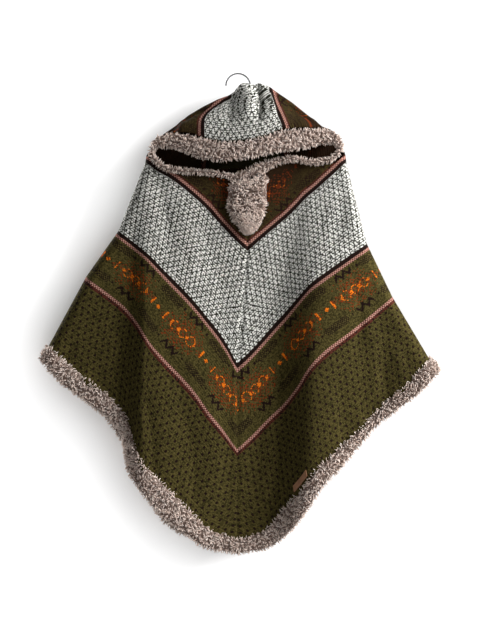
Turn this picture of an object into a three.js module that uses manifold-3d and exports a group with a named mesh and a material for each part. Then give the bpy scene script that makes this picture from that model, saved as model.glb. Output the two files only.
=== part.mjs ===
// Hooded knitted poncho hung on a plain clothes hanger.
// Millimetres, +Z up, +X to the right of someone facing it, the front faces -Y.
// The origin is the inside top of the hanger's hook, where a rail or a peg carries it.
import * as THREE from 'three';
import { mergeVertices } from 'three/addons/utils/BufferGeometryUtils.js';
import Module from 'manifold-3d';

const wasm = await Module();
wasm.setup();

// Cloth and seams
const KNIT_WALL = 3;
const SEAM_GAP = 0.4;
const EDGE_GAP = 1;
const HEM_GAP = 1.2;
const NECK_SEAM_GAP = 1.5;
const PLUSH_HALF_THICKNESS = 9;
// Sections of the plush bands: how many corners, and below 1 how much fuller than an oval.
const HEM_CORNERS = 12;
const HEM_SQUARENESS = 0.6;
const HOOD_TRIM_CORNERS = 10;
const HOOD_TRIM_SQUARENESS = 0.8;

// Hanger
const HOOK_RADIUS = 25.8;
const HOOK_WIRE = 3.5;
const HOOK_ARC_POINTS = 8;
// Where the wire bends back in from its arc towards the bar's middle, [x, z].
const HOOK_NECK = [[24.6, -32], [18.5, -39]];
const ARM_RADIUS = 6.5;
const BAR_MIDDLE_X = 17;
const BAR_TILT = 0.015;
const SHANK_HOLE_DEPTH = 9;
const BAR_ARM = [
  { reach: 0, drop: 50 },
  { reach: 30, drop: 53 },
  { reach: 60, drop: 64 },
  { reach: 90, drop: 80 },
  { reach: 120, drop: 99.5 },
  { reach: 155, drop: 123.5 },
  { reach: 184, drop: 143 },
];

// Seams, stripes and edges of the body, from the neck down. Each runs from the centre seam
// (tip) to the side fold (end), as [x, z]; bow is how far it lies above the straight
// between them at each tenth of its length.
const LEVELS = ['neck', 'stripe1', 'stripe2', 'stripe3', 'hemTop', 'hemEdge'];
const LINES = {
  frontLeft: {
    neck: { tip: [19, -226], end: [-191, -172], bow: [-8, -5, -6, -10, -14, -19, -22, -23, -19] },
    stripe1: { tip: [20, -373], end: [-193, -186], bow: [0, 2, 5, 9, 11, 11, 10, 7, 1] },
    stripe2: { tip: [-2, -607], end: [-250, -330], bow: [9, 15, 17, 19, 19, 17, 15, 13, 7] },
    stripe3: { tip: [-2, -784], end: [-317, -425], bow: [5, 7, 13, 14, 11, 11, 19, 19, 10] },
    hemTop: { tip: [-2, -969], end: [-393, -565], bow: [-23, -26, -25, -27, -15, 12, 18, 12, 2] },
    hemEdge: { tip: [-2, -1009], end: [-414, -604], bow: [-36, -44, -51, -46, -33, 8, 11, 3, -5] },
  },
  frontRight: {
    neck: { tip: [19, -226], end: [224, -170], bow: [4, 8, 13, 15, 12, 1, -7, -10, -10] },
    stripe1: { tip: [20, -373], end: [226, -186], bow: [0, -1, -2, -3, -2, 0, -1, -1, -1] },
    stripe2: { tip: [-2, -607], end: [269, -357], bow: [0, 3, 7, 10, 14, 18, 15, 10, 5] },
    stripe3: { tip: [-2, -784], end: [322, -467], bow: [-1, 0, 0, 6, 18, 20, 14, 8, 4] },
    hemTop: { tip: [-2, -969], end: [397, -593], bow: [-24, -19, -14, -3, -3, -4, -3, -2, -3] },
    hemEdge: { tip: [-2, -1009], end: [425, -625], bow: [-34, -38, -26, -12, -9, -1, 4, -1, -5] },
  },
  backLeft: {
    neck: { tip: [19, -197], end: [-191, -172], bow: [-2, -5, -8, -10, -12, -14, -15, -15, -11] },
    stripe1: { tip: [20, -380], end: [-193, -186], bow: [0, 2, 4, 6, 8, 8, 7, 5, 1] },
    stripe2: { tip: [4, -600], end: [-250, -330], bow: [4, 8, 11, 13, 14, 13, 11, 9, 5] },
    stripe3: { tip: [0, -776], end: [-317, -425], bow: [4, 7, 9, 10, 10, 10, 9, 7, 4] },
    hemTop: { tip: [-2, -958], end: [-393, -565], bow: [-32, -54, -54, -34, -20, -3, 6, 5, 0] },
    hemEdge: { tip: [-2, -1000], end: [-414, -604], bow: [-40, -66, -67, -40, -25, -5, 4, 0, -6] },
  },
  backRight: {
    neck: { tip: [19, -197], end: [224, -170], bow: [-2, -5, -8, -10, -12, -14, -15, -14, -9] },
    stripe1: { tip: [20, -380], end: [226, -186], bow: [0, 1, 2, 2, 2, 2, 1, 1, 0] },
    stripe2: { tip: [4, -600], end: [269, -357], bow: [2, 5, 8, 10, 12, 12, 10, 7, 4] },
    stripe3: { tip: [0, -776], end: [322, -467], bow: [2, 4, 7, 10, 12, 12, 10, 7, 4] },
    hemTop: { tip: [-2, -958], end: [397, -593], bow: [-16, -14, -8, -2, 0, 4, 6, 2, 0] },
    hemEdge: { tip: [-2, -1000], end: [425, -625], bow: [-24, -26, -16, -8, -5, 3, 8, 3, -2] },
  },
};
const LEFT = 'Left';
const RIGHT = 'Right';

// How the cloth stands off the hanger's plane, by height below the hook. The front falls in
// a ridge from each end of the hanger and sinks in a shallow swag between the two.
const HANG = [
  { drop: 160, front: 17, back: 11, leftRidge: -182, rightRidge: 218, leftLift: 0, rightLift: 0 },
  { drop: 300, front: 21, back: 15, leftRidge: -186, rightRidge: 194, leftLift: 5, rightLift: 6 },
  { drop: 440, front: 23, back: 18, leftRidge: -190, rightRidge: 170, leftLift: 16, rightLift: 19 },
  { drop: 600, front: 24, back: 20, leftRidge: -192, rightRidge: 163, leftLift: 26, rightLift: 30 },
  { drop: 780, front: 25, back: 22, leftRidge: -198, rightRidge: 158, leftLift: 34, rightLift: 35 },
  { drop: 1010, front: 26, back: 23, leftRidge: -204, rightRidge: 151, leftLift: 38, rightLift: 38 },
];
const LEFT_FLANK = 38;
const LEFT_FALL = 330;
const RIGHT_FLANK = 44;
const RIGHT_FALL = 230;
const RIDGE_FALL = 0.9;
// Two soft folds down the back.
const BACK_FOLDS = [
  { x: -135, width: 52, lift: 12 },
  { x: 128, width: 60, lift: 10 },
];
const BACK_FOLD_TOP = 300;
const BACK_FOLD_FULL = 800;

// Grid of the body's half strips: columns round the side fold, rows between the lines.
const FRONT_COLUMNS = 20;
const FOLD_COLUMNS = 3;
const BACK_COLUMNS = 11;
const FOLD_START = 0.95;
const FOLD_END = FRONT_COLUMNS + 2 * FOLD_COLUMNS;
const BODY_COLUMNS = FOLD_END + BACK_COLUMNS;
const ROWS = [2, 5, 4, 6];
const HEM = ROWS.length;

// Outline of the hood's top from left to right.
const HOOD_TOP = [
  [-174, -138], [-160, -128], [-128, -106], [-104, -86], [-74, -68], [-42, -52], [-17, -43],
  [-5, -35], [12, -21], [25, -26], [44, -18], [63, -24], [81, -37], [112, -58], [143, -83],
  [176, -109], [195, -116], [214, -131],
];
// Where the hood's sections lie on its top and at its front edge, by station: -1 and 1 are
// the ends, and the other two are the seams of the centre panel.
const HOOD_SECTIONS = [
  { at: -1, top: -173, front: -162 },
  { at: -0.36, top: -17, front: -79 },
  { at: 0.34, top: 74, front: 96 },
  { at: 1, top: 212, front: 199 },
];
const LEFT_SEAM_AT = -0.36;
const RIGHT_SEAM_AT = 0.34;
const HOOD_SEAM_SHIFT = 0.0045;
const HOOD_TOP_RADIUS = 9.5;
const HOOD_FOLD_AT = 0.9;
const HOOD_FOLD_REACH = 2.8;
const HOOD_BULGE = 8;
// A section ends at least this far below the arm's line, and comes forward over this height.
const HOOD_SHORTEST = 4;
const HOOD_FORWARD = 25;
// The left seam reaches its lower line after this share of the section's fall.
const LEFT_SEAM_EASE = 0.625;
const HOOD_COLUMNS = { left: 9, centre: 14, right: 9 };
const HOOD_FRONT_ROWS = 7;
const HOOD_TOP_ROWS = 4;
const HOOD_BACK_ROWS = 6;

// Plush band round the face opening: the brow, from left to right, then its two ends.
const BROW = [
  { x: -164, z: -142, half: 15.5, y: -22 },
  { x: -134, z: -141, half: 18, y: -26 },
  { x: -104, z: -148, half: 21.5, y: -33 },
  { x: -76, z: -158.5, half: 23, y: -39 },
  { x: -50, z: -165, half: 23, y: -43 },
  { x: -12, z: -166, half: 21.5, y: -47 },
  { x: 25, z: -161, half: 21.5, y: -48 },
  { x: 60, z: -153.5, half: 21, y: -46 },
  { x: 92, z: -143, half: 24, y: -42 },
  { x: 136, z: -139, half: 24, y: -34 },
  { x: 168, z: -132.5, half: 18.5, y: -28 },
  { x: 195, z: -133, half: 17.5, y: -23 },
];
const BROW_STATIONS = 24;
const LEFT_TURN = [
  { x: -177, z: -178, half: 7, y: -23 },
  { x: -181, z: -166, half: 7, y: -22 },
  { x: -177, z: -151, half: 10, y: -22 },
];
const RIGHT_TURN = [
  { x: 209.5, z: -141, half: 12, y: -22 },
  { x: 214.5, z: -154, half: 7.5, y: -22 },
  { x: 211, z: -168, half: 7, y: -23 },
];
// Half height of the chin band by station along the neck line, for each side.
const CHIN_HALF = {
  Left: [12, 9, 5.5, 5, 5, 5.5, 6, 6.5, 7, 7, 7],
  Right: [13, 13.5, 13, 10, 8, 7, 6.5, 6.5, 7, 7, 7],
};
const CHIN_END = { Left: 0.86, Right: 0.88 };
const CHIN_STATIONS = 14;
const CHIN_FORWARD = 5;

// Plush tab hanging from the chin band: a row for each section down its length. The first
// row follows the neck line instead of its own height.
const TAB = [
  { z: -218, x: 22.5, half: 36 },
  { z: -240, x: 22, half: 40 },
  { z: -262, x: 19, half: 43 },
  { z: -285, x: 17.5, half: 41.5 },
  { z: -304, x: 19.5, half: 35 },
  { z: -318, x: 21, half: 27.5 },
  { z: -328, x: 22, half: 19 },
  { z: -334, x: 22.5, half: 11 },
  { z: -337, x: 22.5, half: 4 },
];
const TAB_THICKNESS = 16;
const TAB_RIM = 5;
const TAB_LIFT = 1.2;
const TAB_COLUMNS = 8;
// The tab thins over its last rows, to this share of its dome at the tip.
const TAB_END_ROWS = 3.5;
const TAB_TIP = 0.2;

// Leather tab in the hem seam and the small woven tab inside the back neck.
const HEM_LABEL = { from: 0.29, to: 0.372, top: 0.56, bottom: 0.96, thickness: 1.8, lift: 1.1 };
const NECK_LABEL = { x: 14, z: -206, width: 32, height: 10, thickness: 1, lift: 0.5 };

const RIGHT_ANGLE = Math.PI / 2;

// Value at t from 0 to 1 on a smooth curve through evenly spaced values.
function smoothTable(values, t) {
  const place = Math.min(Math.max(t, 0), 1) * (values.length - 1);
  const i = Math.min(Math.floor(place), values.length - 2);
  const f = place - i;
  const a = values[Math.max(i - 1, 0)];
  const b = values[i];
  const c = values[i + 1];
  const d = values[Math.min(i + 2, values.length - 1)];
  return b + 0.5 * f * (c - a + f * (2 * a - 5 * b + 4 * c - d + f * (3 * (b - c) + d - a)));
}

// Value of one column of a table of rows at a place given by another column.
function column(rows, key, place, name) {
  const last = rows.length - 1;
  let i = 0;
  while (i < last - 1 && place > rows[i + 1][key]) i += 1;
  const f = THREE.MathUtils.clamp((place - rows[i][key]) / (rows[i + 1][key] - rows[i][key]), 0, 1);
  return THREE.MathUtils.lerp(rows[i][name], rows[i + 1][name], f);
}

function smoothStep(t) {
  const f = THREE.MathUtils.clamp(t, 0, 1);
  return f * f * (3 - 2 * f);
}

// A seam, stripe or edge line of one panel at t from the centre seam to the side fold.
function lineAt(panel, level, t) {
  const { tip, end, bow } = LINES[panel][LEVELS[level]];
  const dx = end[0] - tip[0];
  const dz = end[1] - tip[1];
  const length = Math.hypot(dx, dz);
  const rise = smoothTable([0, ...bow, 0], t);
  const side = Math.sign(dx);
  return new THREE.Vector2(
    tip[0] + dx * t - side * rise * dz / length,
    tip[1] + dz * t + side * rise * dx / length,
  );
}

// A point of a panel's outline plane between two lines; v counts the lines from the neck.
function bandAt(panel, t, v) {
  const level = Math.min(Math.floor(v), LEVELS.length - 2);
  return lineAt(panel, level, t).lerp(lineAt(panel, level + 1, t), v - level);
}

// A ridge with a steep flank on its left and a long slope on its right, from 0 to 1.
function ridge(x, crest, flank, fall) {
  if (x < crest) return smoothStep(1 + (x - crest) / flank);
  return 1 - smoothStep((x - crest) / fall) * RIDGE_FALL;
}

function frontDepth(x, z) {
  const at = (name) => column(HANG, 'drop', -z, name);
  const left = at('leftLift') * ridge(x, at('leftRidge'), LEFT_FLANK, LEFT_FALL);
  const right = at('rightLift') * ridge(x, at('rightRidge'), RIGHT_FLANK, RIGHT_FALL);
  return at('front') + left + right;
}

function backDepth(x, z) {
  const grown = smoothStep((-z - BACK_FOLD_TOP) / (BACK_FOLD_FULL - BACK_FOLD_TOP));
  let depth = column(HANG, 'drop', -z, 'back');
  for (const fold of BACK_FOLDS) {
    depth += grown * fold.lift * Math.exp(-(((x - fold.x) / fold.width) ** 2));
  }
  return depth;
}

// The round fold at a side: half the depth of the garment there, and where it starts.
function sideFold(side, v) {
  const tip = bandAt('front' + side, 0, v);
  const end = bandAt('front' + side, 1, v);
  const near = tip.clone().lerp(end, FOLD_START);
  const front = frontDepth(near.x, near.y);
  const back = backDepth(near.x, near.y);
  const radius = (front + back) / 2;
  return { middle: (back - front) / 2, flat: 1 - radius / tip.distanceTo(end) };
}

// Middle of the body's wall. c counts columns from the centre front round to the centre back.
function bodyPoint(side, c, v) {
  const fold = sideFold(side, v);
  const isFront = c <= FRONT_COLUMNS + FOLD_COLUMNS;
  let t = fold.flat * c / FRONT_COLUMNS;
  let reach = 1;
  if (c > FOLD_END) {
    t = fold.flat * (1 - (c - FOLD_END) / BACK_COLUMNS);
  } else if (c > FRONT_COLUMNS) {
    const angle = RIGHT_ANGLE * (c - FRONT_COLUMNS) / FOLD_COLUMNS;
    t = fold.flat + (1 - fold.flat) * Math.sin(angle);
    reach = Math.abs(Math.cos(angle));
  }
  const place = bandAt((isFront ? 'front' : 'back') + side, t, v);
  const depth = isFront ? -frontDepth(place.x, place.y) : backDepth(place.x, place.y);
  return new THREE.Vector3(place.x, THREE.MathUtils.lerp(fold.middle, depth, reach), place.y);
}

// Unit normal of a surface given as a function of two parameters, by small differences.
function normalAt(surface, a, b, aMax, bMax, flip) {
  const step = 0.02;
  const alongA = surface(Math.min(a + step, aMax), b).sub(surface(Math.max(a - step, 0), b));
  const alongB = surface(a, Math.min(b + step, bMax)).sub(surface(a, Math.max(b - step, 0)));
  return alongA.cross(alongB).normalize().multiplyScalar(flip);
}

// Vertices and triangles to a closed geometry whose faces point outwards.
function solid(points, triangles) {
  let volume = 0;
  for (const [a, b, c] of triangles) {
    volume += points[a].dot(points[b].clone().cross(points[c]));
  }
  const faces = volume < 0 ? triangles.map(([a, b, c]) => [a, c, b]) : triangles;
  const geometry = new THREE.BufferGeometry();
  geometry.setAttribute('position', new THREE.Float32BufferAttribute(points.flatMap((p) => p.toArray()), 3));
  geometry.setIndex(faces.flat());
  geometry.computeVertexNormals();
  return geometry;
}

// A wall between two grids of points of the same size, closed round its four edges.
function wall(outer, inner) {
  const columns = outer.length;
  const rows = outer[0].length;
  const points = [...outer.flat(), ...inner.flat()];
  const id = (layer, i, j) => (layer * columns + i) * rows + j;
  const triangles = [];
  const quad = (a, b, c, d) => triangles.push([a, b, c], [a, c, d]);
  for (let i = 0; i < columns - 1; i += 1) {
    for (let j = 0; j < rows - 1; j += 1) {
      quad(id(0, i, j), id(0, i, j + 1), id(0, i + 1, j + 1), id(0, i + 1, j));
      quad(id(1, i, j), id(1, i + 1, j), id(1, i + 1, j + 1), id(1, i, j + 1));
    }
    quad(id(0, i, 0), id(0, i + 1, 0), id(1, i + 1, 0), id(1, i, 0));
    quad(id(0, i, rows - 1), id(1, i, rows - 1), id(1, i + 1, rows - 1), id(0, i + 1, rows - 1));
  }
  for (let j = 0; j < rows - 1; j += 1) {
    quad(id(0, 0, j), id(1, 0, j), id(1, 0, j + 1), id(0, 0, j + 1));
    quad(id(0, columns - 1, j), id(0, columns - 1, j + 1), id(1, columns - 1, j + 1), id(1, columns - 1, j));
  }
  return solid(points, triangles);
}

// A closed band whose sections follow one another round a loop.
function loop(sections) {
  const size = sections[0].length;
  const triangles = [];
  sections.forEach((_, i) => {
    const here = i * size;
    const next = ((i + 1) % sections.length) * size;
    for (let k = 0; k < size; k += 1) {
      const up = (k + 1) % size;
      triangles.push([here + k, next + k, next + up], [here + k, next + up, here + up]);
    }
  });
  return solid(sections.flat(), triangles);
}

function range(count) {
  return Array.from({ length: count + 1 }, (_, i) => i);
}

// One half of the body: a knitted strip that runs up the front, over the shoulder and down
// the back, cut on the cross at both centre seams.
function bodyGrid(side) {
  const flip = side === RIGHT ? -1 : 1;
  const rows = ROWS.flatMap((count, band) => range(count - 1).map((j) => band + j / count));
  rows.push(HEM);
  const surface = (c, v) => bodyPoint(side, c, v);
  const seam = 0.5 * SEAM_GAP * Math.SQRT2 * (side === RIGHT ? 1 : -1);
  return range(BODY_COLUMNS).map((c) => rows.map((v) => {
    const point = surface(c, v);
    if (c === 0 || c === BODY_COLUMNS) point.x += seam;
    return { point, normal: normalAt(surface, c, v, BODY_COLUMNS, HEM, flip) };
  }));
}

function moved(grid, distance) {
  return grid.map((line) => line.map(({ point, normal }) => point.clone().addScaledVector(normal, distance)));
}

function bodyHalf(side) {
  const grid = bodyGrid(side);
  return wall(moved(grid, KNIT_WALL / 2), moved(grid, -KNIT_WALL / 2));
}

// The plush band sewn round the whole hem, a rounded section that carries on the body's wall.
function hemTrim() {
  const columns = [];
  for (const c of range(BODY_COLUMNS)) columns.push([RIGHT, c]);
  for (const c of range(BODY_COLUMNS).reverse().slice(1, -1)) columns.push([LEFT, c]);
  return loop(columns.map(([side, c]) => {
    const surface = (a, b) => bodyPoint(side, a, b);
    const top = surface(c, HEM);
    const edge = surface(c, HEM + 1);
    const normal = normalAt(surface, c, HEM + 0.5, BODY_COLUMNS, HEM + 1, side === LEFT ? -1 : 1);
    const middle = top.clone().lerp(edge, 0.5);
    const across = edge.clone().sub(top);
    const length = across.length();
    across.normalize();
    return range(HEM_CORNERS - 1).map((k) => {
      const angle = 2 * Math.PI * k / HEM_CORNERS;
      const bulge = Math.sign(Math.sin(angle)) * Math.abs(Math.sin(angle)) ** HEM_SQUARENESS;
      return middle.clone()
        .addScaledVector(across, -Math.cos(angle) * (length / 2 - HEM_GAP))
        .addScaledVector(normal, bulge * PLUSH_HALF_THICKNESS);
    });
  }));
}

// Height of the hood's top at x.
function hoodTop(x) {
  let i = 0;
  while (i < HOOD_TOP.length - 2 && x > HOOD_TOP[i + 1][0]) i += 1;
  const [x0, z0] = HOOD_TOP[i];
  const [x1, z1] = HOOD_TOP[i + 1];
  return THREE.MathUtils.lerp(z0, z1, (x - x0) / (x1 - x0));
}

function browAt(x, name) {
  return column(BROW, 'x', x, name);
}

// Height of the brow band's upper edge at x; a slanting oval reaches higher than its half.
function browTop(x) {
  const reach = 8;
  const slope = (browAt(x + reach, 'z') - browAt(x - reach, 'z')) / (2 * reach);
  return browAt(x, 'z') + browAt(x, 'half') * Math.hypot(1, slope);
}

// Middle of the hood's wall: a section that starts at the brow, goes up over the hanger's arm
// and down to the back neck. a is the station from end to end, b goes along the section.
function hoodPoint(a, b) {
  const top = column(HOOD_SECTIONS, 'at', a, 'top');
  const front = column(HOOD_SECTIONS, 'at', a, 'front');
  const crest = hoodTop(top) - KNIT_WALL / 2;
  const centre = crest - HOOD_TOP_RADIUS;
  const seat = browTop(front) + EDGE_GAP;
  const lowest = centre - HOOD_SHORTEST;
  const edge = Math.min(seat, lowest);
  const forward = THREE.MathUtils.clamp((lowest - seat) / HOOD_FORWARD, 0, 1);
  const edgeDepth = THREE.MathUtils.lerp(HOOD_TOP_RADIUS, -browAt(front, 'y'), forward);
  if (b < 1) {
    const ease = a < 0 ? Math.sin(Math.min(1, (1 - b) / LEFT_SEAM_EASE) * RIGHT_ANGLE) : 1 - b;
    const bulge = HOOD_BULGE * Math.sin(Math.PI * b) * forward * (1 - Math.abs(a));
    const depth = THREE.MathUtils.lerp(edgeDepth, HOOD_TOP_RADIUS, smoothStep(b)) + bulge;
    return new THREE.Vector3(
      THREE.MathUtils.lerp(top, front, ease),
      -depth,
      THREE.MathUtils.lerp(edge, centre, b),
    );
  }
  if (b < 2) {
    const angle = Math.PI * (2 - b);
    const up = HOOD_TOP_RADIUS * Math.sin(angle);
    return new THREE.Vector3(top, HOOD_TOP_RADIUS * Math.cos(angle), centre + up);
  }
  const side = a < 0 ? LEFT : RIGHT;
  const round = Math.max(0, (Math.abs(a) - HOOD_FOLD_AT) / (1 - HOOD_FOLD_AT));
  const flat = BACK_COLUMNS * (1 - Math.min(1, Math.abs(a) / HOOD_FOLD_AT));
  const neck = bodyPoint(side, FOLD_END + flat - round * HOOD_FOLD_REACH, 0);
  neck.z += NECK_SEAM_GAP * (1 + 1.5 * round);
  const fall = b - 2;
  return new THREE.Vector3(
    THREE.MathUtils.lerp(top, neck.x, smoothStep(fall)),
    THREE.MathUtils.lerp(HOOD_TOP_RADIUS, neck.y, fall),
    THREE.MathUtils.lerp(centre, neck.z, fall),
  );
}

const HOOD_ROWS = [
  ...range(HOOD_FRONT_ROWS - 1).map((j) => j / HOOD_FRONT_ROWS),
  ...range(HOOD_TOP_ROWS - 1).map((j) => 1 + j / HOOD_TOP_ROWS),
  ...range(HOOD_BACK_ROWS).map((j) => 2 + j / HOOD_BACK_ROWS),
];

function hoodPanel(from, to, columns) {
  const surface = (a, b) => hoodPoint(a - 1, b);
  const grid = range(columns).map((i) => {
    const a = THREE.MathUtils.lerp(from, to, i / columns);
    return HOOD_ROWS.map((b) => ({
      point: hoodPoint(a, b),
      normal: normalAt(surface, a + 1, b, 2, 3, 1),
    }));
  });
  return wall(moved(grid, KNIT_WALL / 2), moved(grid, -KNIT_WALL / 2));
}

// Section of the plush band round the face: an oval across the path in the XZ plane.
function plushSection(row, before, after) {
  const along = new THREE.Vector2(after.x - before.x, after.z - before.z).normalize();
  return range(HOOD_TRIM_CORNERS - 1).map((k) => {
    const angle = 2 * Math.PI * k / HOOD_TRIM_CORNERS;
    const across = row.half * Math.cos(angle);
    const bulge = Math.sign(Math.sin(angle)) * Math.abs(Math.sin(angle)) ** HOOD_TRIM_SQUARENESS;
    const depth = PLUSH_HALF_THICKNESS * bulge;
    return new THREE.Vector3(row.x - along.y * across, row.y + depth, row.z + along.x * across);
  });
}

// Sections of the chin band along the neck line of one side, from the centre outwards.
function chinRows(side) {
  const last = CHIN_END[side] * FRONT_COLUMNS;
  return range(CHIN_STATIONS).map((i) => {
    const c = last * i / CHIN_STATIONS;
    const half = smoothTable(CHIN_HALF[side], c / FRONT_COLUMNS);
    const edge = bodyPoint(side, c, 0);
    return { x: edge.x, y: edge.y - CHIN_FORWARD, z: edge.z + half + EDGE_GAP, half };
  });
}

function hoodTrim() {
  const first = BROW[0].x;
  const last = BROW[BROW.length - 1].x;
  const brow = range(BROW_STATIONS).map((i) => {
    const x = THREE.MathUtils.lerp(first, last, i / BROW_STATIONS);
    return { x, y: browAt(x, 'y'), z: browAt(x, 'z'), half: browAt(x, 'half') };
  });
  const rows = [
    ...chinRows(RIGHT).reverse(),
    ...chinRows(LEFT).slice(1),
    ...LEFT_TURN,
    ...brow,
    ...RIGHT_TURN,
  ];
  return loop(rows.map((row, i) => {
    const before = rows[(i + rows.length - 1) % rows.length];
    return plushSection(row, before, rows[(i + 1) % rows.length]);
  }));
}

// Height of the front neck line at x, found by halving the stretch that holds it.
function neckLine(x) {
  const side = x < bodyPoint(LEFT, 0, 0).x ? LEFT : RIGHT;
  let near = 0;
  let far = FRONT_COLUMNS;
  for (let turn = 0; turn < 20; turn += 1) {
    const half = (near + far) / 2;
    const reached = bodyPoint(side, half, 0).x;
    if (side === RIGHT ? reached < x : reached > x) near = half;
    else far = half;
  }
  return bodyPoint(side, near, 0).z;
}

// The plush tab lies on the yoke: its back follows the front of the body, moved out.
function neckTab() {
  const back = [];
  const front = [];
  for (const i of range(TAB_COLUMNS)) {
    const across = 2 * i / TAB_COLUMNS - 1;
    back.push(TAB.map((row, j) => {
      const x = row.x + across * row.half;
      const z = j === 0 ? neckLine(x) - TAB_LIFT : row.z;
      return new THREE.Vector3(x, -frontDepth(x, z) - KNIT_WALL / 2 - TAB_LIFT, z);
    }));
    front.push(TAB.map((row, j) => {
      const end = Math.min(1, (TAB.length - 1 - j) / TAB_END_ROWS + TAB_TIP);
      const dome = Math.sqrt(Math.max(0, 1 - across * across)) * Math.sqrt(end);
      const point = back[i][j].clone();
      point.y -= TAB_RIM + (TAB_THICKNESS - TAB_RIM) * dome;
      return point;
    }));
  }
  return wall(front, back);
}

// The leather tab stands up from the hem seam and lies on the right front: its points are
// those of the lowest row of the panel's grid, between two columns, moved out.
function hemLabel() {
  const { from, to, top, bottom, thickness, lift } = HEM_LABEL;
  const panel = bodyGrid(RIGHT);
  const last = panel[0].length - 1;
  const first = from * FRONT_COLUMNS;
  const end = to * FRONT_COLUMNS;
  const columns = [first, ...range(BODY_COLUMNS).filter((c) => c > first && c < end), end];
  const mix = (a, b, f) => ({
    point: a.point.clone().lerp(b.point, f),
    normal: a.normal.clone().lerp(b.normal, f).normalize(),
  });
  const grid = columns.map((c) => {
    const i = Math.min(Math.floor(c), BODY_COLUMNS - 1);
    return [top, bottom].map((f) => mix(
      mix(panel[i][last - 1], panel[i + 1][last - 1], c - i),
      mix(panel[i][last], panel[i + 1][last], c - i),
      f,
    ));
  });
  const seat = KNIT_WALL / 2 + lift;
  return wall(moved(grid, seat + thickness), moved(grid, seat));
}

function neckLabel() {
  const { x, z, width, height, thickness, lift } = NECK_LABEL;
  const geometry = new THREE.BoxGeometry(width, thickness, height);
  const seat = Math.min(backDepth(x, z - height / 2), backDepth(x, z + height / 2));
  geometry.translate(x, seat - KNIT_WALL / 2 - lift - thickness / 2, z);
  return geometry;
}

// Exact solid of a three.js geometry, for the two holes that the hook passes through.
function toManifold(source) {
  const geometry = source.clone();
  geometry.deleteAttribute('normal');
  geometry.deleteAttribute('uv');
  const merged = mergeVertices(geometry, 1e-4);
  return new wasm.Manifold(new wasm.Mesh({
    numProp: 3,
    vertProperties: new Float32Array(merged.attributes.position.array),
    triVerts: new Uint32Array(merged.index.array),
  }));
}

function cut(source, tool) {
  const mesh = toManifold(source).subtract(toManifold(tool)).getMesh();
  const geometry = new THREE.BufferGeometry();
  geometry.setAttribute('position', new THREE.Float32BufferAttribute(mesh.vertProperties, 3));
  geometry.setIndex(Array.from(mesh.triVerts));
  geometry.computeVertexNormals();
  return geometry;
}

function circleShape(radius, sides) {
  const points = range(sides - 1).map((k) => {
    const angle = 2 * Math.PI * k / sides;
    return new THREE.Vector2(radius * Math.cos(angle), radius * Math.sin(angle));
  });
  return new THREE.Shape(points);
}

function upright(radius, bottom, top, x) {
  const geometry = new THREE.CylinderGeometry(radius, radius, top - bottom, 12);
  geometry.rotateX(RIGHT_ANGLE);
  geometry.translate(x, 0, (top + bottom) / 2);
  return geometry;
}

// Wire of the hook: over the rail from its open end, down into the crown and on to the bar.
const HOOK_CENTRE_Z = HOOK_WIRE / 2 - HOOK_RADIUS;
const BAR_TOP_Z = ARM_RADIUS - BAR_ARM[0].drop;
const SHANK_END_Z = BAR_TOP_Z - SHANK_HOLE_DEPTH + SEAM_GAP;
const HOOK_HOLE_RADIUS = HOOK_WIRE / 2 + 2 * SEAM_GAP;
// Heights between which the hook's wire goes through the crown of the hood.
const CROWN_HOLE_Z = [-36, -16];

function hangerHook() {
  const points = range(HOOK_ARC_POINTS).map((i) => {
    const angle = Math.PI * (1 - i / HOOK_ARC_POINTS);
    const up = HOOK_RADIUS * Math.sin(angle);
    return new THREE.Vector3(HOOK_RADIUS * Math.cos(angle), 0, HOOK_CENTRE_Z + up);
  });
  for (const [x, z] of HOOK_NECK) points.push(new THREE.Vector3(x, 0, z));
  points.push(new THREE.Vector3(BAR_MIDDLE_X, 0, BAR_TOP_Z + 1));
  points.push(new THREE.Vector3(BAR_MIDDLE_X, 0, SHANK_END_Z));
  const path = new THREE.CatmullRomCurve3(points, false, 'centripetal');
  return new THREE.ExtrudeGeometry(circleShape(HOOK_WIRE / 2, 8), {
    steps: 34, extrudePath: path, bevelEnabled: false,
  });
}

function armPoint(reach, drop) {
  return new THREE.Vector3(BAR_MIDDLE_X + reach, 0, -drop + BAR_TILT * reach);
}

function hangerBar() {
  const left = [...BAR_ARM].reverse().map((row) => armPoint(-row.reach, row.drop));
  const right = BAR_ARM.slice(1).map((row) => armPoint(row.reach, row.drop));
  const path = new THREE.CatmullRomCurve3([...left, ...right], false, 'centripetal');
  const bar = new THREE.ExtrudeGeometry(circleShape(ARM_RADIUS, 12), {
    steps: 26, extrudePath: path, bevelEnabled: false,
  });
  const floor = BAR_TOP_Z - SHANK_HOLE_DEPTH;
  return cut(bar, upright(HOOK_HOLE_RADIUS, floor, floor + 2 * SHANK_HOLE_DEPTH, BAR_MIDDLE_X));
}

function hoodCentre() {
  const from = LEFT_SEAM_AT + HOOD_SEAM_SHIFT;
  const to = RIGHT_SEAM_AT - HOOD_SEAM_SHIFT;
  const [bottom, top] = CROWN_HOLE_Z;
  return cut(hoodPanel(from, to, HOOD_COLUMNS.centre), upright(HOOK_HOLE_RADIUS, bottom, top, HOOK_RADIUS));
}

function coat(color, roughness = 0.95, metalness = 0) {
  return new THREE.MeshStandardMaterial({ color, roughness, metalness });
}

const group = new THREE.Group();

function add(name, geometry, material) {
  const mesh = new THREE.Mesh(geometry, material);
  mesh.name = name;
  group.add(mesh);
}

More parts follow.
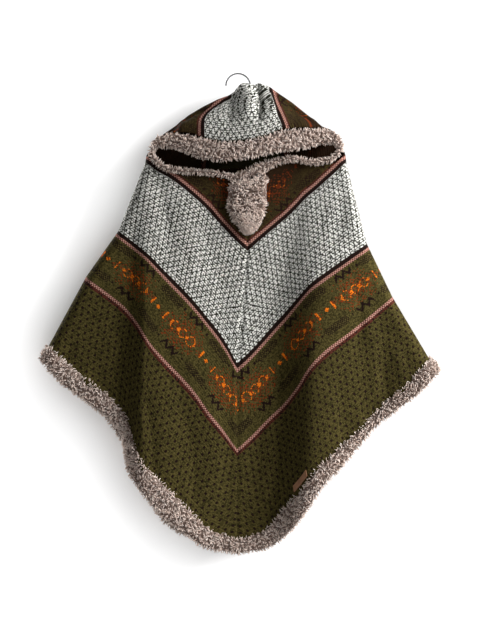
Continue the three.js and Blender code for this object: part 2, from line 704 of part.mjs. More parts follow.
add('body_left', bodyHalf(LEFT), coat(0x5a5530));
add('body_right', bodyHalf(RIGHT), coat(0x5a5530));
add('hem_trim', hemTrim(), coat(0xa8968a));
add('hood_left', hoodPanel(-1, LEFT_SEAM_AT - HOOD_SEAM_SHIFT, HOOD_COLUMNS.left), coat(0x5a5530));
add('hood_centre', hoodCentre(), coat(0xb4b5aa));
add('hood_right', hoodPanel(RIGHT_SEAM_AT + HOOD_SEAM_SHIFT, 1, HOOD_COLUMNS.right), coat(0x5a5530));
add('hood_trim', hoodTrim(), coat(0xa8968a));
add('neck_tab', neckTab(), coat(0xa8968a));
add('hem_label', hemLabel(), coat(0x9a6440, 0.6));
add('neck_label', neckLabel(), coat(0xb7a084, 0.8));
add('hanger_bar', hangerBar(), coat(0x9c7a52, 0.5));
add('hanger_hook', hangerHook(), coat(0xb9bcbf, 0.25, 1));

export default group;
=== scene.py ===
from functools import partialmethod
import math
import bpy
import numpy as np
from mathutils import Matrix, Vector


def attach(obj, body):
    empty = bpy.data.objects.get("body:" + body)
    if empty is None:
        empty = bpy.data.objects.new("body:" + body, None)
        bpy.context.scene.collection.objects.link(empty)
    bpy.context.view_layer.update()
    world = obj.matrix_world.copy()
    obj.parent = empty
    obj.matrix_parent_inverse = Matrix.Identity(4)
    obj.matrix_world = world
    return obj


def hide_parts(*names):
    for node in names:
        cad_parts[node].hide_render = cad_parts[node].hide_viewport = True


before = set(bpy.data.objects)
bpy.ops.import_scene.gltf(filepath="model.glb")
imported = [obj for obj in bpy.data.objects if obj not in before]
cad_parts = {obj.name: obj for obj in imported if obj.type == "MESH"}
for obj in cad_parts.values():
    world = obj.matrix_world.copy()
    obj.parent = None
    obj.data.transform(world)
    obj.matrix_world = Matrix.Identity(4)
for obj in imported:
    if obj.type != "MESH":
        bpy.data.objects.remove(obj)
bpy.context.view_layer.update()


# Knitted halves of the poncho: each is one strip of patterned double knit, 3 mm thick, that
# runs up the front, over the shoulder and down the back. It is cut on the cross and joined
# to the other half at the centre front and centre back, so that the bands meet in a V.
MM = 0.001
KNIT_WALL = 3.0
FRONT_COLUMNS, FOLD_COLUMNS, BACK_COLUMNS = 20, 3, 11
FOLD_END = FRONT_COLUMNS + 2 * FOLD_COLUMNS
BODY_COLUMNS = FOLD_END + BACK_COLUMNS
FOLD_START = 0.95

# Lines across the strips from the neck down, in millimetres: tip x, tip z at the centre
# seam, end x, end z at the side fold, then the rise above the straight at each tenth.
STRIP_LINES = {
    ("front", "left"): [
        (19, -226, -191, -172, -8, -5, -6, -10, -14, -19, -22, -23, -19),
        (20, -373, -193, -186, 0, 2, 5, 9, 11, 11, 10, 7, 1),
        (-2, -607, -250, -330, 9, 15, 17, 19, 19, 17, 15, 13, 7),
        (-2, -784, -317, -425, 5, 7, 13, 14, 11, 11, 19, 19, 10),
        (-2, -969, -393, -565, -23, -26, -25, -27, -15, 12, 18, 12, 2),
        (-2, -1009, -414, -604, -36, -44, -51, -46, -33, 8, 11, 3, -5),
    ],
    ("front", "right"): [
        (19, -226, 224, -170, 4, 8, 13, 15, 12, 1, -7, -10, -10),
        (20, -373, 226, -186, 0, -1, -2, -3, -2, 0, -1, -1, -1),
        (-2, -607, 269, -357, 0, 3, 7, 10, 14, 18, 15, 10, 5),
        (-2, -784, 322, -467, -1, 0, 0, 6, 18, 20, 14, 8, 4),
        (-2, -969, 397, -593, -24, -19, -14, -3, -3, -4, -3, -2, -3),
        (-2, -1009, 425, -625, -34, -38, -26, -12, -9, -1, 4, -1, -5),
    ],
    ("back", "left"): [
        (19, -197, -191, -172, -2, -5, -8, -10, -12, -14, -15, -15, -11),
        (20, -380, -193, -186, 0, 2, 4, 6, 8, 8, 7, 5, 1),
        (4, -600, -250, -330, 4, 8, 11, 13, 14, 13, 11, 9, 5),
        (0, -776, -317, -425, 4, 7, 9, 10, 10, 10, 9, 7, 4),
        (-2, -958, -393, -565, -32, -54, -54, -34, -20, -3, 6, 5, 0),
        (-2, -1000, -414, -604, -40, -66, -67, -40, -25, -5, 4, 0, -6),
    ],
    ("back", "right"): [
        (19, -197, 224, -170, -2, -5, -8, -10, -12, -14, -15, -14, -9),
        (20, -380, 226, -186, 0, 1, 2, 2, 2, 2, 1, 1, 0),
        (4, -600, 269, -357, 2, 5, 8, 10, 12, 12, 10, 7, 4),
        (0, -776, 322, -467, 2, 4, 7, 10, 12, 12, 10, 7, 4),
        (-2, -958, 397, -593, -16, -14, -8, -2, 0, 4, 6, 2, 0),
        (-2, -1000, 425, -625, -24, -26, -16, -8, -5, 3, 8, 3, -2),
    ],
}

# Rows: drop below the hook, depth of the front and of the back, place of the left and of the
# right ridge, lift of the left and of the right ridge.
HANG = np.array([
    (160, 17, 11, -182, 218, 0, 0),
    (300, 21, 15, -186, 194, 5, 6),
    (440, 23, 18, -190, 170, 16, 21),
    (600, 24, 20, -192, 163, 26, 32),
    (780, 25, 22, -198, 158, 34, 37),
    (1010, 26, 23, -204, 151, 38, 39),
], float)
LEFT_FLANK, LEFT_FALL = 38.0, 250.0
RIGHT_FLANK, RIGHT_FALL = 78.0, 150.0
RIDGE_FALL = 0.9
BACK_FOLDS = [(-135, 52, 12), (128, 60, 10)]
BACK_FOLD_TOP, BACK_FOLD_FULL = 300.0, 800.0


def smooth_step(t):
    """3t^2 - 2t^3 with t held between 0 and 1."""
    f = np.clip(t, 0.0, 1.0)
    return f * f * (3 - 2 * f)


def smooth_table(values, t):
    """Catmull-Rom curve through evenly spaced values, at t from 0 to 1."""
    values = np.asarray(values, float)
    place = np.clip(t, 0, 1) * (len(values) - 1)
    i = np.minimum(place.astype(int), len(values) - 2)
    f = place - i
    a = values[np.maximum(i - 1, 0)]
    b = values[i]
    c = values[i + 1]
    d = values[np.minimum(i + 2, len(values) - 1)]
    return b + 0.5 * f * (c - a + f * (2 * a - 5 * b + 4 * c - d + f * (3 * (b - c) + d - a)))


def strip_lines(face, side, t):
    """All six lines of a panel at t: tip + (end - tip) t + rise times the upward unit normal."""
    points = []
    for tip_x, tip_z, end_x, end_z, *rises in STRIP_LINES[face, side]:
        dx, dz = end_x - tip_x, end_z - tip_z
        length = math.hypot(dx, dz)
        rise = smooth_table([0, *rises, 0], t) * math.copysign(1, dx)
        points.append(np.stack([
            tip_x + dx * t - rise * dz / length,
            tip_z + dz * t + rise * dx / length,
        ], -1))
    return np.stack(points)


def strip_at(face, side, t, v):
    """Point between two lines; the whole part of v names the upper line, the rest mixes."""
    t, v = np.broadcast_arrays(t, v)
    lines = strip_lines(face, side, t)
    level = np.clip(v.astype(int), 0, 4)
    upper = np.take_along_axis(lines, level[None, ..., None], 0)[0]
    lower = np.take_along_axis(lines, level[None, ..., None] + 1, 0)[0]
    return upper + (lower - upper) * (v - level)[..., None]


def hang(z, column):
    """One column of the hang table at height z."""
    return np.interp(-z, HANG[:, 0], HANG[:, column])


def ridge(x, crest, flank, fall):
    """Smooth step up over the flank left of the crest, smooth fall right of it."""
    rising = smooth_step(1 + (x - crest) / flank)
    return np.where(x < crest, rising, 1 - RIDGE_FALL * smooth_step((x - crest) / fall))


def front_depth(x, z):
    """Depth of the front: table value plus the two ridges."""
    left = hang(z, 5) * ridge(x, hang(z, 3), LEFT_FLANK, LEFT_FALL)
    right = hang(z, 6) * ridge(x, hang(z, 4), RIGHT_FLANK, RIGHT_FALL)
    return hang(z, 1) + left + right


def back_depth(x, z):
    """Depth of the back: table value plus bell-shaped folds that grow downwards."""
    grown = smooth_step((-z - BACK_FOLD_TOP) / (BACK_FOLD_FULL - BACK_FOLD_TOP))
    folds = sum(lift * np.exp(-(((x - at) / width) ** 2)) for at, width, lift in BACK_FOLDS)
    return hang(z, 2) + grown * folds


def body_point(side, c, v):
    """Middle of the wall: a flat front, a half round at the side fold and a flat back; c
    counts columns round from the centre front to the centre back, v lines from the neck."""
    c, v = np.broadcast_arrays(np.asarray(c, float), np.asarray(v, float))
    tip = strip_at("front", side, np.zeros_like(v), v)
    end = strip_at("front", side, np.ones_like(v), v)
    near = tip + (end - tip) * FOLD_START
    front = front_depth(near[..., 0], near[..., 1])
    back = back_depth(near[..., 0], near[..., 1])
    flat = 1 - (front + back) / 2 / np.linalg.norm(end - tip, axis=-1)
    angle = np.clip((c - FRONT_COLUMNS) / FOLD_COLUMNS, 0, 2) * math.pi / 2
    round_t = flat + (1 - flat) * np.sin(angle)
    t = np.where(c > FOLD_END, flat * (1 - (c - FOLD_END) / BACK_COLUMNS), round_t)
    t = np.where(c <= FRONT_COLUMNS, flat * c / FRONT_COLUMNS, t)
    is_front = c <= FRONT_COLUMNS + FOLD_COLUMNS
    place = np.where(is_front[..., None],
                     strip_at("front", side, t, v), strip_at("back", side, t, v))
    x, z = place[..., 0], place[..., 1]
    depth = np.where(is_front, -front_depth(x, z), back_depth(x, z))
    middle = (back - front) / 2
    return np.stack([x, middle + (depth - middle) * np.abs(np.cos(angle)), z], -1)


def unit(vectors):
    """Vectors divided by their lengths."""
    return vectors / np.maximum(np.linalg.norm(vectors, axis=-1, keepdims=True), 1e-9)


def lengths(grid, axis):
    """Length along one direction of a grid, from its first line."""
    step = np.linalg.norm(np.diff(grid, axis=axis), axis=-1)
    zero = np.zeros_like(step.take([0], axis=axis))
    return np.concatenate([zero, np.cumsum(step, axis=axis)], axis=axis)


def spaced(*spans):
    """Evenly spaced values over spans of start, stop and count that follow one another."""
    parts = [np.linspace(*span)[:-1] for span in spans[:-1]]
    return np.concatenate([*parts, np.linspace(*spans[-1])])


def surface_normals(grid, flip=1):
    """Unit cross product of the two directions of a grid of points."""
    return unit(np.cross(np.gradient(grid, axis=0), np.gradient(grid, axis=1)) * flip)


CREASE_BOW, CREASE_FADE, CREASE_START = 0.06, 3.5, 0.15


def creased(grid, normals, creases):
    """Moves a grid along its normals by the sum of its creases: each is a bell across a
    slightly bowed line in x and z, fading out towards both ends of that line."""
    x, z = grid[..., 0], grid[..., 2]
    lift = np.zeros_like(x)
    for x0, z0, x1, z1, width, height in creases:
        length = math.hypot(x1 - x0, z1 - z0)
        ux, uz = (x1 - x0) / length, (z1 - z0) / length
        along = ((x - x0) * ux + (z - z0) * uz) / length
        bow = CREASE_BOW * length * np.sin(math.pi * np.clip(along, 0, 1))
        across = (x - x0) * uz - (z - z0) * ux + bow
        fade = smooth_step(along * CREASE_FADE + CREASE_START)
        fade = fade * smooth_step((1 - along) * CREASE_FADE + CREASE_START)
        lift += height * fade * np.exp(-((across / width) ** 2))
    return grid + normals * lift[..., None]


def make_mesh(name, points, faces, uv, material, smooth_angle=50):
    """Mesh from points in millimetres and a list of face arrays, with a UV per point."""
    mesh = bpy.data.meshes.new(name)
    mesh.from_pydata((points * MM).tolist(), [], [f for part in faces for f in part.tolist()])
    mesh.polygons.foreach_set("use_smooth", np.ones(len(mesh.polygons), bool))
    if uv is not None:
        layer = mesh.uv_layers.new(name="strip")
        corner = np.empty(len(mesh.loops), np.int32)
        mesh.loops.foreach_get("vertex_index", corner)
        layer.data.foreach_set("uv", uv[corner].astype(np.float32).ravel())
    mesh.set_sharp_from_angle(angle=math.radians(smooth_angle))
    mesh.update()
    obj = bpy.data.objects.new(name, mesh)
    bpy.context.scene.collection.objects.link(obj)
    mesh.materials.append(material)
    return obj


def cloth_shell(name, middle, normals, wall, uv, flip, material, reverse=None):
    """Closed wall round a grid: the grid moved half a wall out and half a wall in, with a
    strip of faces along each of its four edges."""
    columns, rows = middle.shape[:2]
    half = normals * wall / 2
    points = np.concatenate([(middle + half).reshape(-1, 3), (middle - half).reshape(-1, 3)])
    here = np.arange(columns * rows).reshape(columns, rows)
    far = here + columns * rows
    outer = np.stack([here[:-1, :-1], here[1:, :-1], here[1:, 1:], here[:-1, 1:]], -1)
    outer = outer.reshape(-1, 4)
    faces = [outer, outer[:, ::-1] + columns * rows]
    edges = ((slice(None, None, -1), 0), (slice(None), -1), (0, slice(None)), (-1, slice(None, None, -1)))
    for edge in edges:
        near_edge, far_edge = here[edge], far[edge]
        faces.append(np.stack([near_edge[:-1], near_edge[1:], far_edge[1:], far_edge[:-1]], -1))
    if flip < 0:
        faces = [part[:, ::-1] for part in faces]
    obj = make_mesh(name, points, faces, np.concatenate([uv.reshape(-1, 2)] * 2), material)
    if reverse is not None:
        obj.data.materials.append(reverse)
        which = np.zeros(len(obj.data.polygons), np.int32)
        which[len(outer):2 * len(outer)] = 1
        obj.data.polygons.foreach_set("material_index", which)
    return obj


class Signal:
    """A float socket of a node tree. Arithmetic on it adds Math nodes: < and > give masks of
    0 and 1, * is both of two masks and | the larger of them."""

    def __init__(self, tree, socket):
        self.tree, self.socket = tree, socket

    def apply(self, operation, *others):
        return calc(self.tree, operation, self, *others)

    def __rsub__(self, other):
        return calc(self.tree, "SUBTRACT", other, self)

    __add__ = partialmethod(apply, "ADD")
    __sub__ = partialmethod(apply, "SUBTRACT")
    __mul__ = partialmethod(apply, "MULTIPLY")
    __truediv__ = partialmethod(apply, "DIVIDE")
    __lt__ = partialmethod(apply, "LESS_THAN")
    __gt__ = partialmethod(apply, "GREATER_THAN")
    __or__ = partialmethod(apply, "MAXIMUM")
    __abs__ = partialmethod(apply, "ABSOLUTE")
    floor = partialmethod(apply, "FLOOR")
    fract = partialmethod(apply, "FRACT")
    sine = partialmethod(apply, "SINE")
    times_plus = partialmethod(apply, "MULTIPLY_ADD")

    def within(self, low, high):
        """1 where the value lies between low and high."""
        return self.apply("COMPARE", (low + high) / 2, (high - low) / 2)


def any_of(masks):
    """The largest of several masks."""
    first, *others = masks
    for mask in others:
        first = first | mask
    return first


def feed(node, inputs):
    """Links each signal or socket into a node's input, or sets it to a number or colour."""
    for key, value in inputs.items():
        if isinstance(value, Signal):
            value = value.socket
        if isinstance(value, bpy.types.NodeSocket):
            node.id_data.links.new(value, node.inputs[key])
        else:
            node.inputs[key].default_value = value


def add_node(tree, kind, inputs=None, **settings):
    """A node of a kind with its settings made and its inputs fed."""
    node = tree.nodes.new(kind)
    for key, value in settings.items():
        setattr(node, key, value)
    feed(node, inputs or {})
    return node


def calc(tree, operation, *values):
    """One Math node on signals or numbers."""
    node = add_node(tree, "ShaderNodeMath", dict(enumerate(values)), operation=operation)
    return Signal(tree, node.outputs[0])


def mix_colour(tree, factor, a, b):
    """Mix node between two colours, each a socket or a value."""
    node = add_node(tree, "ShaderNodeMix", {0: factor, 6: a, 7: b}, data_type="RGBA")
    return node.outputs[2]


def layered(tree, colour, *layers):
    """A colour with others laid over it in turn, each by its mask."""
    for mask, over in layers:
        colour = mix_colour(tree, mask, colour, over)
    return colour


def open_group(name, inputs):
    """Empty shader node group with named float inputs, which come back as signals."""
    tree = bpy.data.node_groups.new(name, "ShaderNodeTree")
    for key, value in inputs.items():
        socket = tree.interface.new_socket(key, in_out="INPUT", socket_type="NodeSocketFloat")
        socket.default_value = value
    start = tree.nodes.new("NodeGroupInput")
    return tree, [Signal(tree, start.outputs[key]) for key in inputs]


def close_group(tree, outputs):
    """Gives a group its named float outputs, each fed by its signal."""
    for key in outputs:
        tree.interface.new_socket(key, in_out="OUTPUT", socket_type="NodeSocketFloat")
    feed(tree.nodes.new("NodeGroupOutput"), outputs)
    return tree


def place_group(tree, group, inputs):
    """A group node with its inputs fed; gives its outputs as signals by name."""
    node = add_node(tree, "ShaderNodeGroup", inputs, node_tree=group)
    return {socket.name: Signal(tree, socket) for socket in node.outputs}


STITCH_WIDTH, COURSE_HEIGHT = 0.0024, 0.0019
RIB_PITCH = 0.0048
LEG_LEAN = 1.1


def knit_stitch_group():
    """Stitches as rows of V: two legs that lean to each other. Height is the product of two
    half sines; Stitch Along and Stitch Across are the middle of the stitch."""
    tree, (along, across, width, course) = open_group("knit_stitch", {
        "Along": 0.0, "Across": 0.0, "Stitch Width": STITCH_WIDTH, "Course Height": COURSE_HEIGHT,
    })
    s = along / width
    leg = abs(s.fract() - 0.5)
    row = leg.times_plus(LEG_LEAN, across / course)
    round_leg = (leg * (2 * math.pi)).sine()
    round_row = (row.fract() * math.pi).sine()
    return close_group(tree, {
        "Stitch Along": (s.floor() + 0.5) * width,
        "Stitch Across": (row.floor() + 0.5) * course,
        "Height": (abs(round_leg) * round_row).apply("POWER", 0.6),
    })


MARL_STEP, MARL_ROW = 0.0122, 0.0096
CROSS_REACH, CROSS_LINE = 3.7, 1.5
GROOVE_SHARE, GROOVE_ABOVE = 0.46, 0.25


def speckle_group():
    """Marl: small dark crosses 12 mm apart in rows two ribs apart, each row half a step on
    from the last, and a broken dark line in the groove between ribs, painted shade of the groove."""
    tree, (along, across, chance) = open_group("marl_speckle", {"Along": 0.0, "Across": 0.0, "Chance": 0.5})
    row = across / MARL_ROW
    place = along / MARL_STEP + row.floor() * 0.5
    f = abs((place.fract() - 0.5) * (MARL_STEP / MM))
    g = abs((row.fract() - 0.5) * (MARL_ROW / MM))
    groove = (across / RIB_PITCH).fract() < GROOVE_SHARE
    return close_group(tree, {
        "Cross": (abs(f - g) < CROSS_LINE) * (f < CROSS_REACH),
        "Groove": groove * (chance > GROOVE_ABOVE),
    })


# Motifs in millimetres along the repeat and across the band: where each stands and its size.
MOTIF_REPEAT = 150.0
DIAMONDS = ((-71, 5.0), (-31, 4.0), (-8, 5.0), (16, 5.6), (38, 4.6))
RINGS = ((-20, 9.8), (4, 8.6), (28, 8.6))
RING_HALF_LINE = 0.7
BARS, BAR_HALF, BAR_REACH = (-54, 56), 2.1, 8.5
CHAIN_MIDDLE = 4.0
LATTICE_STEP, LATTICE_SHARE, LATTICE_REACH, LATTICE_SIDE = 8.4, 0.2, 66.0, 31.0
LATTICE_FADE, LATTICE_MOST = -0.009, 0.85
STAIR_STEP, STAIR_SLOPE, STAIR_AT, STAIR_HALF = 9.0, 1.3, 32.0, 3.7
STAIR_SHIFT, STAIR_MIDDLE, STAIR_REACH = 200.0, 2, 21.5
DOTS, DOT_HALF, DOT_SPAN = (-33, 37), 2.2, (34.0, 39.0)
HATCH_STEP, HATCH_ROW, HATCH_SHARE = 4.8, 3.8, 0.58
PATCH_AT, PATCH_REACH, PATCH_HALF = 36.0, 33.0, 7.5


def motif_group():
    """Patterned band round its centre line: squares, bars and three linked rings in a
    chain, a lattice of single stitches round them that thins out with distance, stepped
    zigzags and hatched patches on both sides."""
    tree, (along, across) = open_group("motif_chain", {"Along": 0.0, "Across": 0.0})
    m = ((along / (MOTIF_REPEAT * MM)).fract() - 0.5) * MOTIF_REPEAT
    q = across / MM
    side = abs(q)

    def distance(at):
        return abs(m - float(at))

    def ring(at, size):
        radius = distance(at).times_plus(distance(at), q * q).apply("SQRT")
        return radius.within(size - RING_HALF_LINE, size + RING_HALF_LINE)

    diamonds = any_of((distance(at) + side) < size for at, size in DIAMONDS)
    rings = any_of(ring(at, size) for at, size in RINGS)
    bars = any_of(distance(at) < BAR_HALF for at in BARS) * (side < BAR_REACH)

    around = distance(CHAIN_MIDDLE) + side
    crossways = distance(CHAIN_MIDDLE) - side
    lattice = any_of((way / LATTICE_STEP).fract() < LATTICE_SHARE for way in (around, crossways))
    held_in = (around < LATTICE_REACH) * (side < LATTICE_SIDE)

    stair = (m + STAIR_SHIFT).apply("PINGPONG", STAIR_STEP) * STAIR_SLOPE + STAIR_AT
    zigzag = (abs(stair - side) < STAIR_HALF) * (distance(STAIR_MIDDLE) < STAIR_REACH)
    dots = any_of(distance(at) < DOT_HALF for at in DOTS) * side.within(*DOT_SPAN)
    hatch = m.times_plus(1 / HATCH_STEP, (q / HATCH_ROW).floor() * 0.5).fract() < HATCH_SHARE
    far = abs(side - PATCH_AT)
    patch = ((MOTIF_REPEAT / 2 - abs(m) + far) < PATCH_REACH) * (far < PATCH_HALF)
    return close_group(tree, {
        "Orange": diamonds | rings | bars,
        "Red": lattice * held_in * around.times_plus(LATTICE_FADE, LATTICE_MOST),
        "Dark": zigzag | dots | patch * hatch,
    })


DOT_STEP, DOT_ROW = 0.0152, 0.0112
DOT_ALONG, DOT_ACROSS = (0.35, 0.65), (0.28, 0.72)


def dot_grid_group():
    """Small dark dots, each row half a step on from the last."""
    tree, (along, across) = open_group("dot_rows", {"Along": 0.0, "Across": 0.0})
    row = across / DOT_ROW
    place = (along / DOT_STEP + row.floor() * 0.5).fract()
    return close_group(tree, {"Dark": place.within(*DOT_ALONG) * row.fract().within(*DOT_ACROSS)})


KNIT_STITCH = knit_stitch_group()
MARL_SPECKLE = speckle_group()
MOTIF_CHAIN = motif_group()
DOT_ROWS = dot_grid_group()

# Yarn colours, linear. On the reverse, which lines the inside, orange, rust and pink are much darker
# copies: painted shade of the inside.
OLIVE = (0.012, 0.0105, 0.0027, 1)
OLIVE_LIGHT = (0.1, 0.079, 0.0233, 1)
# Red-brown olive of the yoke, made dark as painted shade under the hood's brow.
YOKE_RED_AND_SHADE = (0.017, 0.0072, 0.0034, 1)
LINING_OLIVE = (0.022, 0.019, 0.006, 1)
LIGHT_GREY = (0.74, 0.735, 0.69, 1)
SPECK = (0.02, 0.02, 0.014, 1)
GROOVE_SHADE_GREY = (0.11, 0.112, 0.09, 1)
DARK_BROWN = (0.012, 0.0055, 0.004, 1)
RED_BROWN = (0.075, 0.02, 0.013, 1)
FACE_YARNS = ((0.72, 0.16, 0.008, 1), (0.17, 0.028, 0.006, 1), (0.5, 0.265, 0.21, 1))
REVERSE_YARNS_IN_SHADE = ((0.12, 0.03, 0.005, 1), (0.035, 0.01, 0.004, 1), (0.08, 0.045, 0.034, 1))

# Where the bands and stripes lie across a strip, in metres below the top stripe.
YOKE_MIDDLE, BAND_MIDDLE = -0.062, 0.22
GREY_BAND, DOTTED_FROM = (0.0, 0.160), 0.280
DARK_STRIPES = ((-0.0085, 0.0005), (0.160, 0.168))
RED_STRIPES = ((-0.0172, -0.0138), (0.286, 0.2935))
PINK_STRIPES = ((-0.0139, -0.0085), (0.168, 0.1735), (0.2805, 0.286))
ROPE_STEP, ROPE_ROW = 0.0052, 0.0027
# Chance above which a stitch is a loose speck, a red one or a bright one, more in the yoke.
SPECK_ABOVE, RED_ABOVE, BRIGHT_ABOVE, BRIGHT_YOKE = 0.88, 0.35, 0.35, 0.55
# Share of the lighter olive: spread by chance and least; on the reverse spread by chance.
OLIVE_SPREAD, OLIVE_LEAST, REVERSE_SPREAD = 0.8, 0.06, 0.3
# Yoke colour: a redder olive that darkens towards the hood, the darkening being painted shade under the
# hood's brow: growth for each metre up, start, most, and its share over the motifs.
YOKE_SHADE_GROWTH, YOKE_SHADE_START, YOKE_SHADE_MOST, YOKE_SHADE_OVER = -18.0, -0.3, 0.85, 0.45
STITCH_BUMP, STITCH_DEPTH, RIB_SHARE = 0.55, 0.0007, 0.5
GRAIN_SCALE = 997.0


def new_material(name, settings):
    """A node material, its tree and its Principled shader with some inputs set."""
    material = bpy.data.materials.new(name)
    material.use_nodes = True
    shader = material.node_tree.nodes["Principled BSDF"]
    feed(shader, settings)
    return material, material.node_tree, shader


def strip_place(tree):
    """Both coordinates of a piece's own map, as signals."""
    uv = add_node(tree, "ShaderNodeUVMap", uv_map="strip")
    split = add_node(tree, "ShaderNodeSeparateXYZ", {0: uv.outputs[0]})
    return Signal(tree, split.outputs[0]), Signal(tree, split.outputs[1])


def stitch_chance(tree, along, across):
    """A random number from 0 to 1 for each stitch."""
    joined = add_node(tree, "ShaderNodeCombineXYZ", {0: along, 1: across})
    scaled = add_node(tree, "ShaderNodeVectorMath", {0: joined.outputs[0]}, operation="SCALE")
    scaled.inputs["Scale"].default_value = GRAIN_SCALE
    grain = add_node(tree, "ShaderNodeTexWhiteNoise", noise_dimensions="2D")
    feed(grain, {"Vector": scaled.outputs[0]})
    return Signal(tree, grain.outputs["Value"])


def strip_pattern(tree, place, along, across, chance, olive, marl, yarns):
    """Colour of a whole strip: its four bands, the motifs in two of them and the stripes."""
    orange, rust, pink = yarns
    in_yoke = across < 0.0
    # The yoke turns darker towards the hood and over its motifs: painted shade under the brow, on a redder
    # olive.
    yoke_shade = (across.times_plus(YOKE_SHADE_GROWTH, YOKE_SHADE_START) | 0.0).apply("MINIMUM", YOKE_SHADE_MOST)
    olive = mix_colour(tree, yoke_shade, olive, YOKE_RED_AND_SHADE)
    picked = in_yoke * (across - YOKE_MIDDLE) + (1.0 - in_yoke) * (across - BAND_MIDDLE)
    motif = place_group(tree, MOTIF_CHAIN, {"Along": along, "Across": picked})
    dots = place_group(tree, DOT_ROWS, place)["Dark"]
    red, twisted = (any_of(across.within(*span) for span in spans) for spans in (RED_STRIPES, PINK_STRIPES))
    ply = (place["Across"] / ROPE_ROW).floor() * 0.5
    rope = place["Along"].times_plus(1 / ROPE_STEP, ply).fract()
    patterned = layered(
        tree, olive,
        (chance < motif["Red"], rust),
        (motif["Dark"], DARK_BROWN),
        (motif["Orange"], rust),
        (motif["Orange"] * (chance > in_yoke.times_plus(BRIGHT_YOKE, BRIGHT_ABOVE)), orange),
        (in_yoke * YOKE_SHADE_OVER, YOKE_RED_AND_SHADE),
    )
    return layered(
        tree, patterned,
        (across.within(*GREY_BAND), marl),
        (across > DOTTED_FROM, mix_colour(tree, dots, olive, DARK_BROWN)),
        (any_of(across.within(*span) for span in DARK_STRIPES), DARK_BROWN),
        (red, DARK_BROWN),
        (red * (chance > RED_ABOVE), RED_BROWN),
        (twisted, RED_BROWN),
        (twisted * (rope < 0.5), pink),
    )


def knit_material(name, marl_only=False, reverse=False):
    """Double knit on a strip's own coordinates: bands and motifs picked stitch by stitch.
    On the reverse the dark yarns lie on top, so the speckled areas turn dark olive, and its colours are
    kept dark as painted shade of the inside."""
    material, tree, shader = new_material(name, {"Roughness": 0.95, "Specular IOR Level": 0.06})
    place = dict(zip(("Along", "Across"), strip_place(tree)))
    stitch = place_group(tree, KNIT_STITCH, {
        **place, "Stitch Width": STITCH_WIDTH, "Course Height": COURSE_HEIGHT,
    })
    along, across = stitch["Stitch Along"], stitch["Stitch Across"]
    chance = stitch_chance(tree, along, across)
    loose = chance > SPECK_ABOVE
    # The reverse's darker colours are painted shade of the garment's inside.
    if reverse:
        marl = mix_colour(tree, loose, LINING_OLIVE, SPECK)
        olive = mix_colour(tree, chance * REVERSE_SPREAD, LINING_OLIVE, OLIVE)
    else:
        speck = place_group(tree, MARL_SPECKLE, {**place, "Chance": chance})
        # The grey in the rib grooves is painted shade.
        marl = layered(tree, LIGHT_GREY, (speck["Groove"], GROOVE_SHADE_GREY), (speck["Cross"] | loose, SPECK))
        olive = mix_colour(tree, chance.times_plus(OLIVE_SPREAD, OLIVE_LEAST), OLIVE, OLIVE_LIGHT)
    yarns = REVERSE_YARNS_IN_SHADE if reverse else FACE_YARNS
    colour = marl if marl_only else strip_pattern(tree, place, along, across, chance, olive, marl, yarns)
    rib = (place["Across"] * (2 * math.pi / RIB_PITCH)).sine()
    height = rib.times_plus(RIB_SHARE, stitch["Height"])
    bump = add_node(tree, "ShaderNodeBump", {
        "Strength": STITCH_BUMP, "Distance": STITCH_DEPTH, "Height": height,
    })
    feed(shader, {"Base Color": colour, "Normal": bump.outputs["Normal"]})
    return material


STRIP_KNIT = knit_material("patterned double knit")
STRIP_REVERSE = knit_material("patterned double knit reverse", reverse=True)
MOTIF_SHIFT = 45.0

# Band starts across the strip in metres, from the first stripe down to the hem.
BAND_STARTS = (0.0, 0.160, 0.280, 0.425)


def strip_uv(grid, v):
    """Distance along and across the strip. Along is the length round from the centre front,
    set back where a line starts lower down the slanting cut. Above the first stripe both are
    measured square to it."""
    length = lengths(grid, 0)
    first = int(np.argmin(np.abs(v - 1)))
    line = grid[:, first]
    way = unit(np.gradient(line, axis=0))
    start = grid[0] - line[0]
    chord = line[len(line) // 4] - line[0]
    heading = chord / np.linalg.norm(chord)
    along = length + (start @ heading)[None]
    across = np.broadcast_to(np.interp(v, (1, 2, 3, 4), BAND_STARTS) * 1000, along.shape).copy()
    off = grid - line[:, None]
    shift = np.einsum("ijk,ik->ij", off, way)
    square = np.linalg.norm(off - shift[..., None] * way[:, None], axis=-1)
    above = v < 1
    along[:, above] = (length[:, first, None] + shift)[:, above]
    across[:, above] = -square[:, above]
    return np.stack([along, across], -1) * MM


# Creases: start x, z, end x, z, half width, height out of the cloth, all in millimetres.
FRONT_CREASES = {
    "left": [
        (-172, -205, -150, -420, 14, -3.0), (-120, -250, -95, -470, 18, 2.2),
        (-70, -330, -30, -560, 16, -2.2), (-235, -520, -215, -740, 15, 3.0),
        (-262, -470, -252, -640, 12, -2.6), (-330, -600, -290, -760, 14, 3.2),
        (-290, -690, -262, -840, 12, -3.0), (-150, -560, -120, -860, 22, -3.0),
        (-70, -640, -60, -930, 20, 3.0), (-110, -700, -98, -905, 12, -2.4),
        (-345, -560, -372, -610, 9, -2.4), (-205, -640, -178, -880, 10, -2.6),
    ],
    "right": [
        (215, -200, 195, -380, 13, -2.6), (150, -240, 118, -430, 17, 2.2),
        (95, -320, 60, -520, 15, -2.2), (262, -480, 280, -690, 14, 3.0),
        (240, -420, 248, -600, 10, -2.4), (318, -560, 352, -700, 13, 3.2),
        (292, -600, 318, -760, 10, -3.0), (64, -430, 24, -900, 34, -6.0),
        (52, -600, 46, -930, 18, 2.6), (200, -620, 214, -850, 15, -2.8),
        (246, -700, 262, -820, 10, 2.6), (76, -720, 68, -900, 10, -2.2),
    ],
}
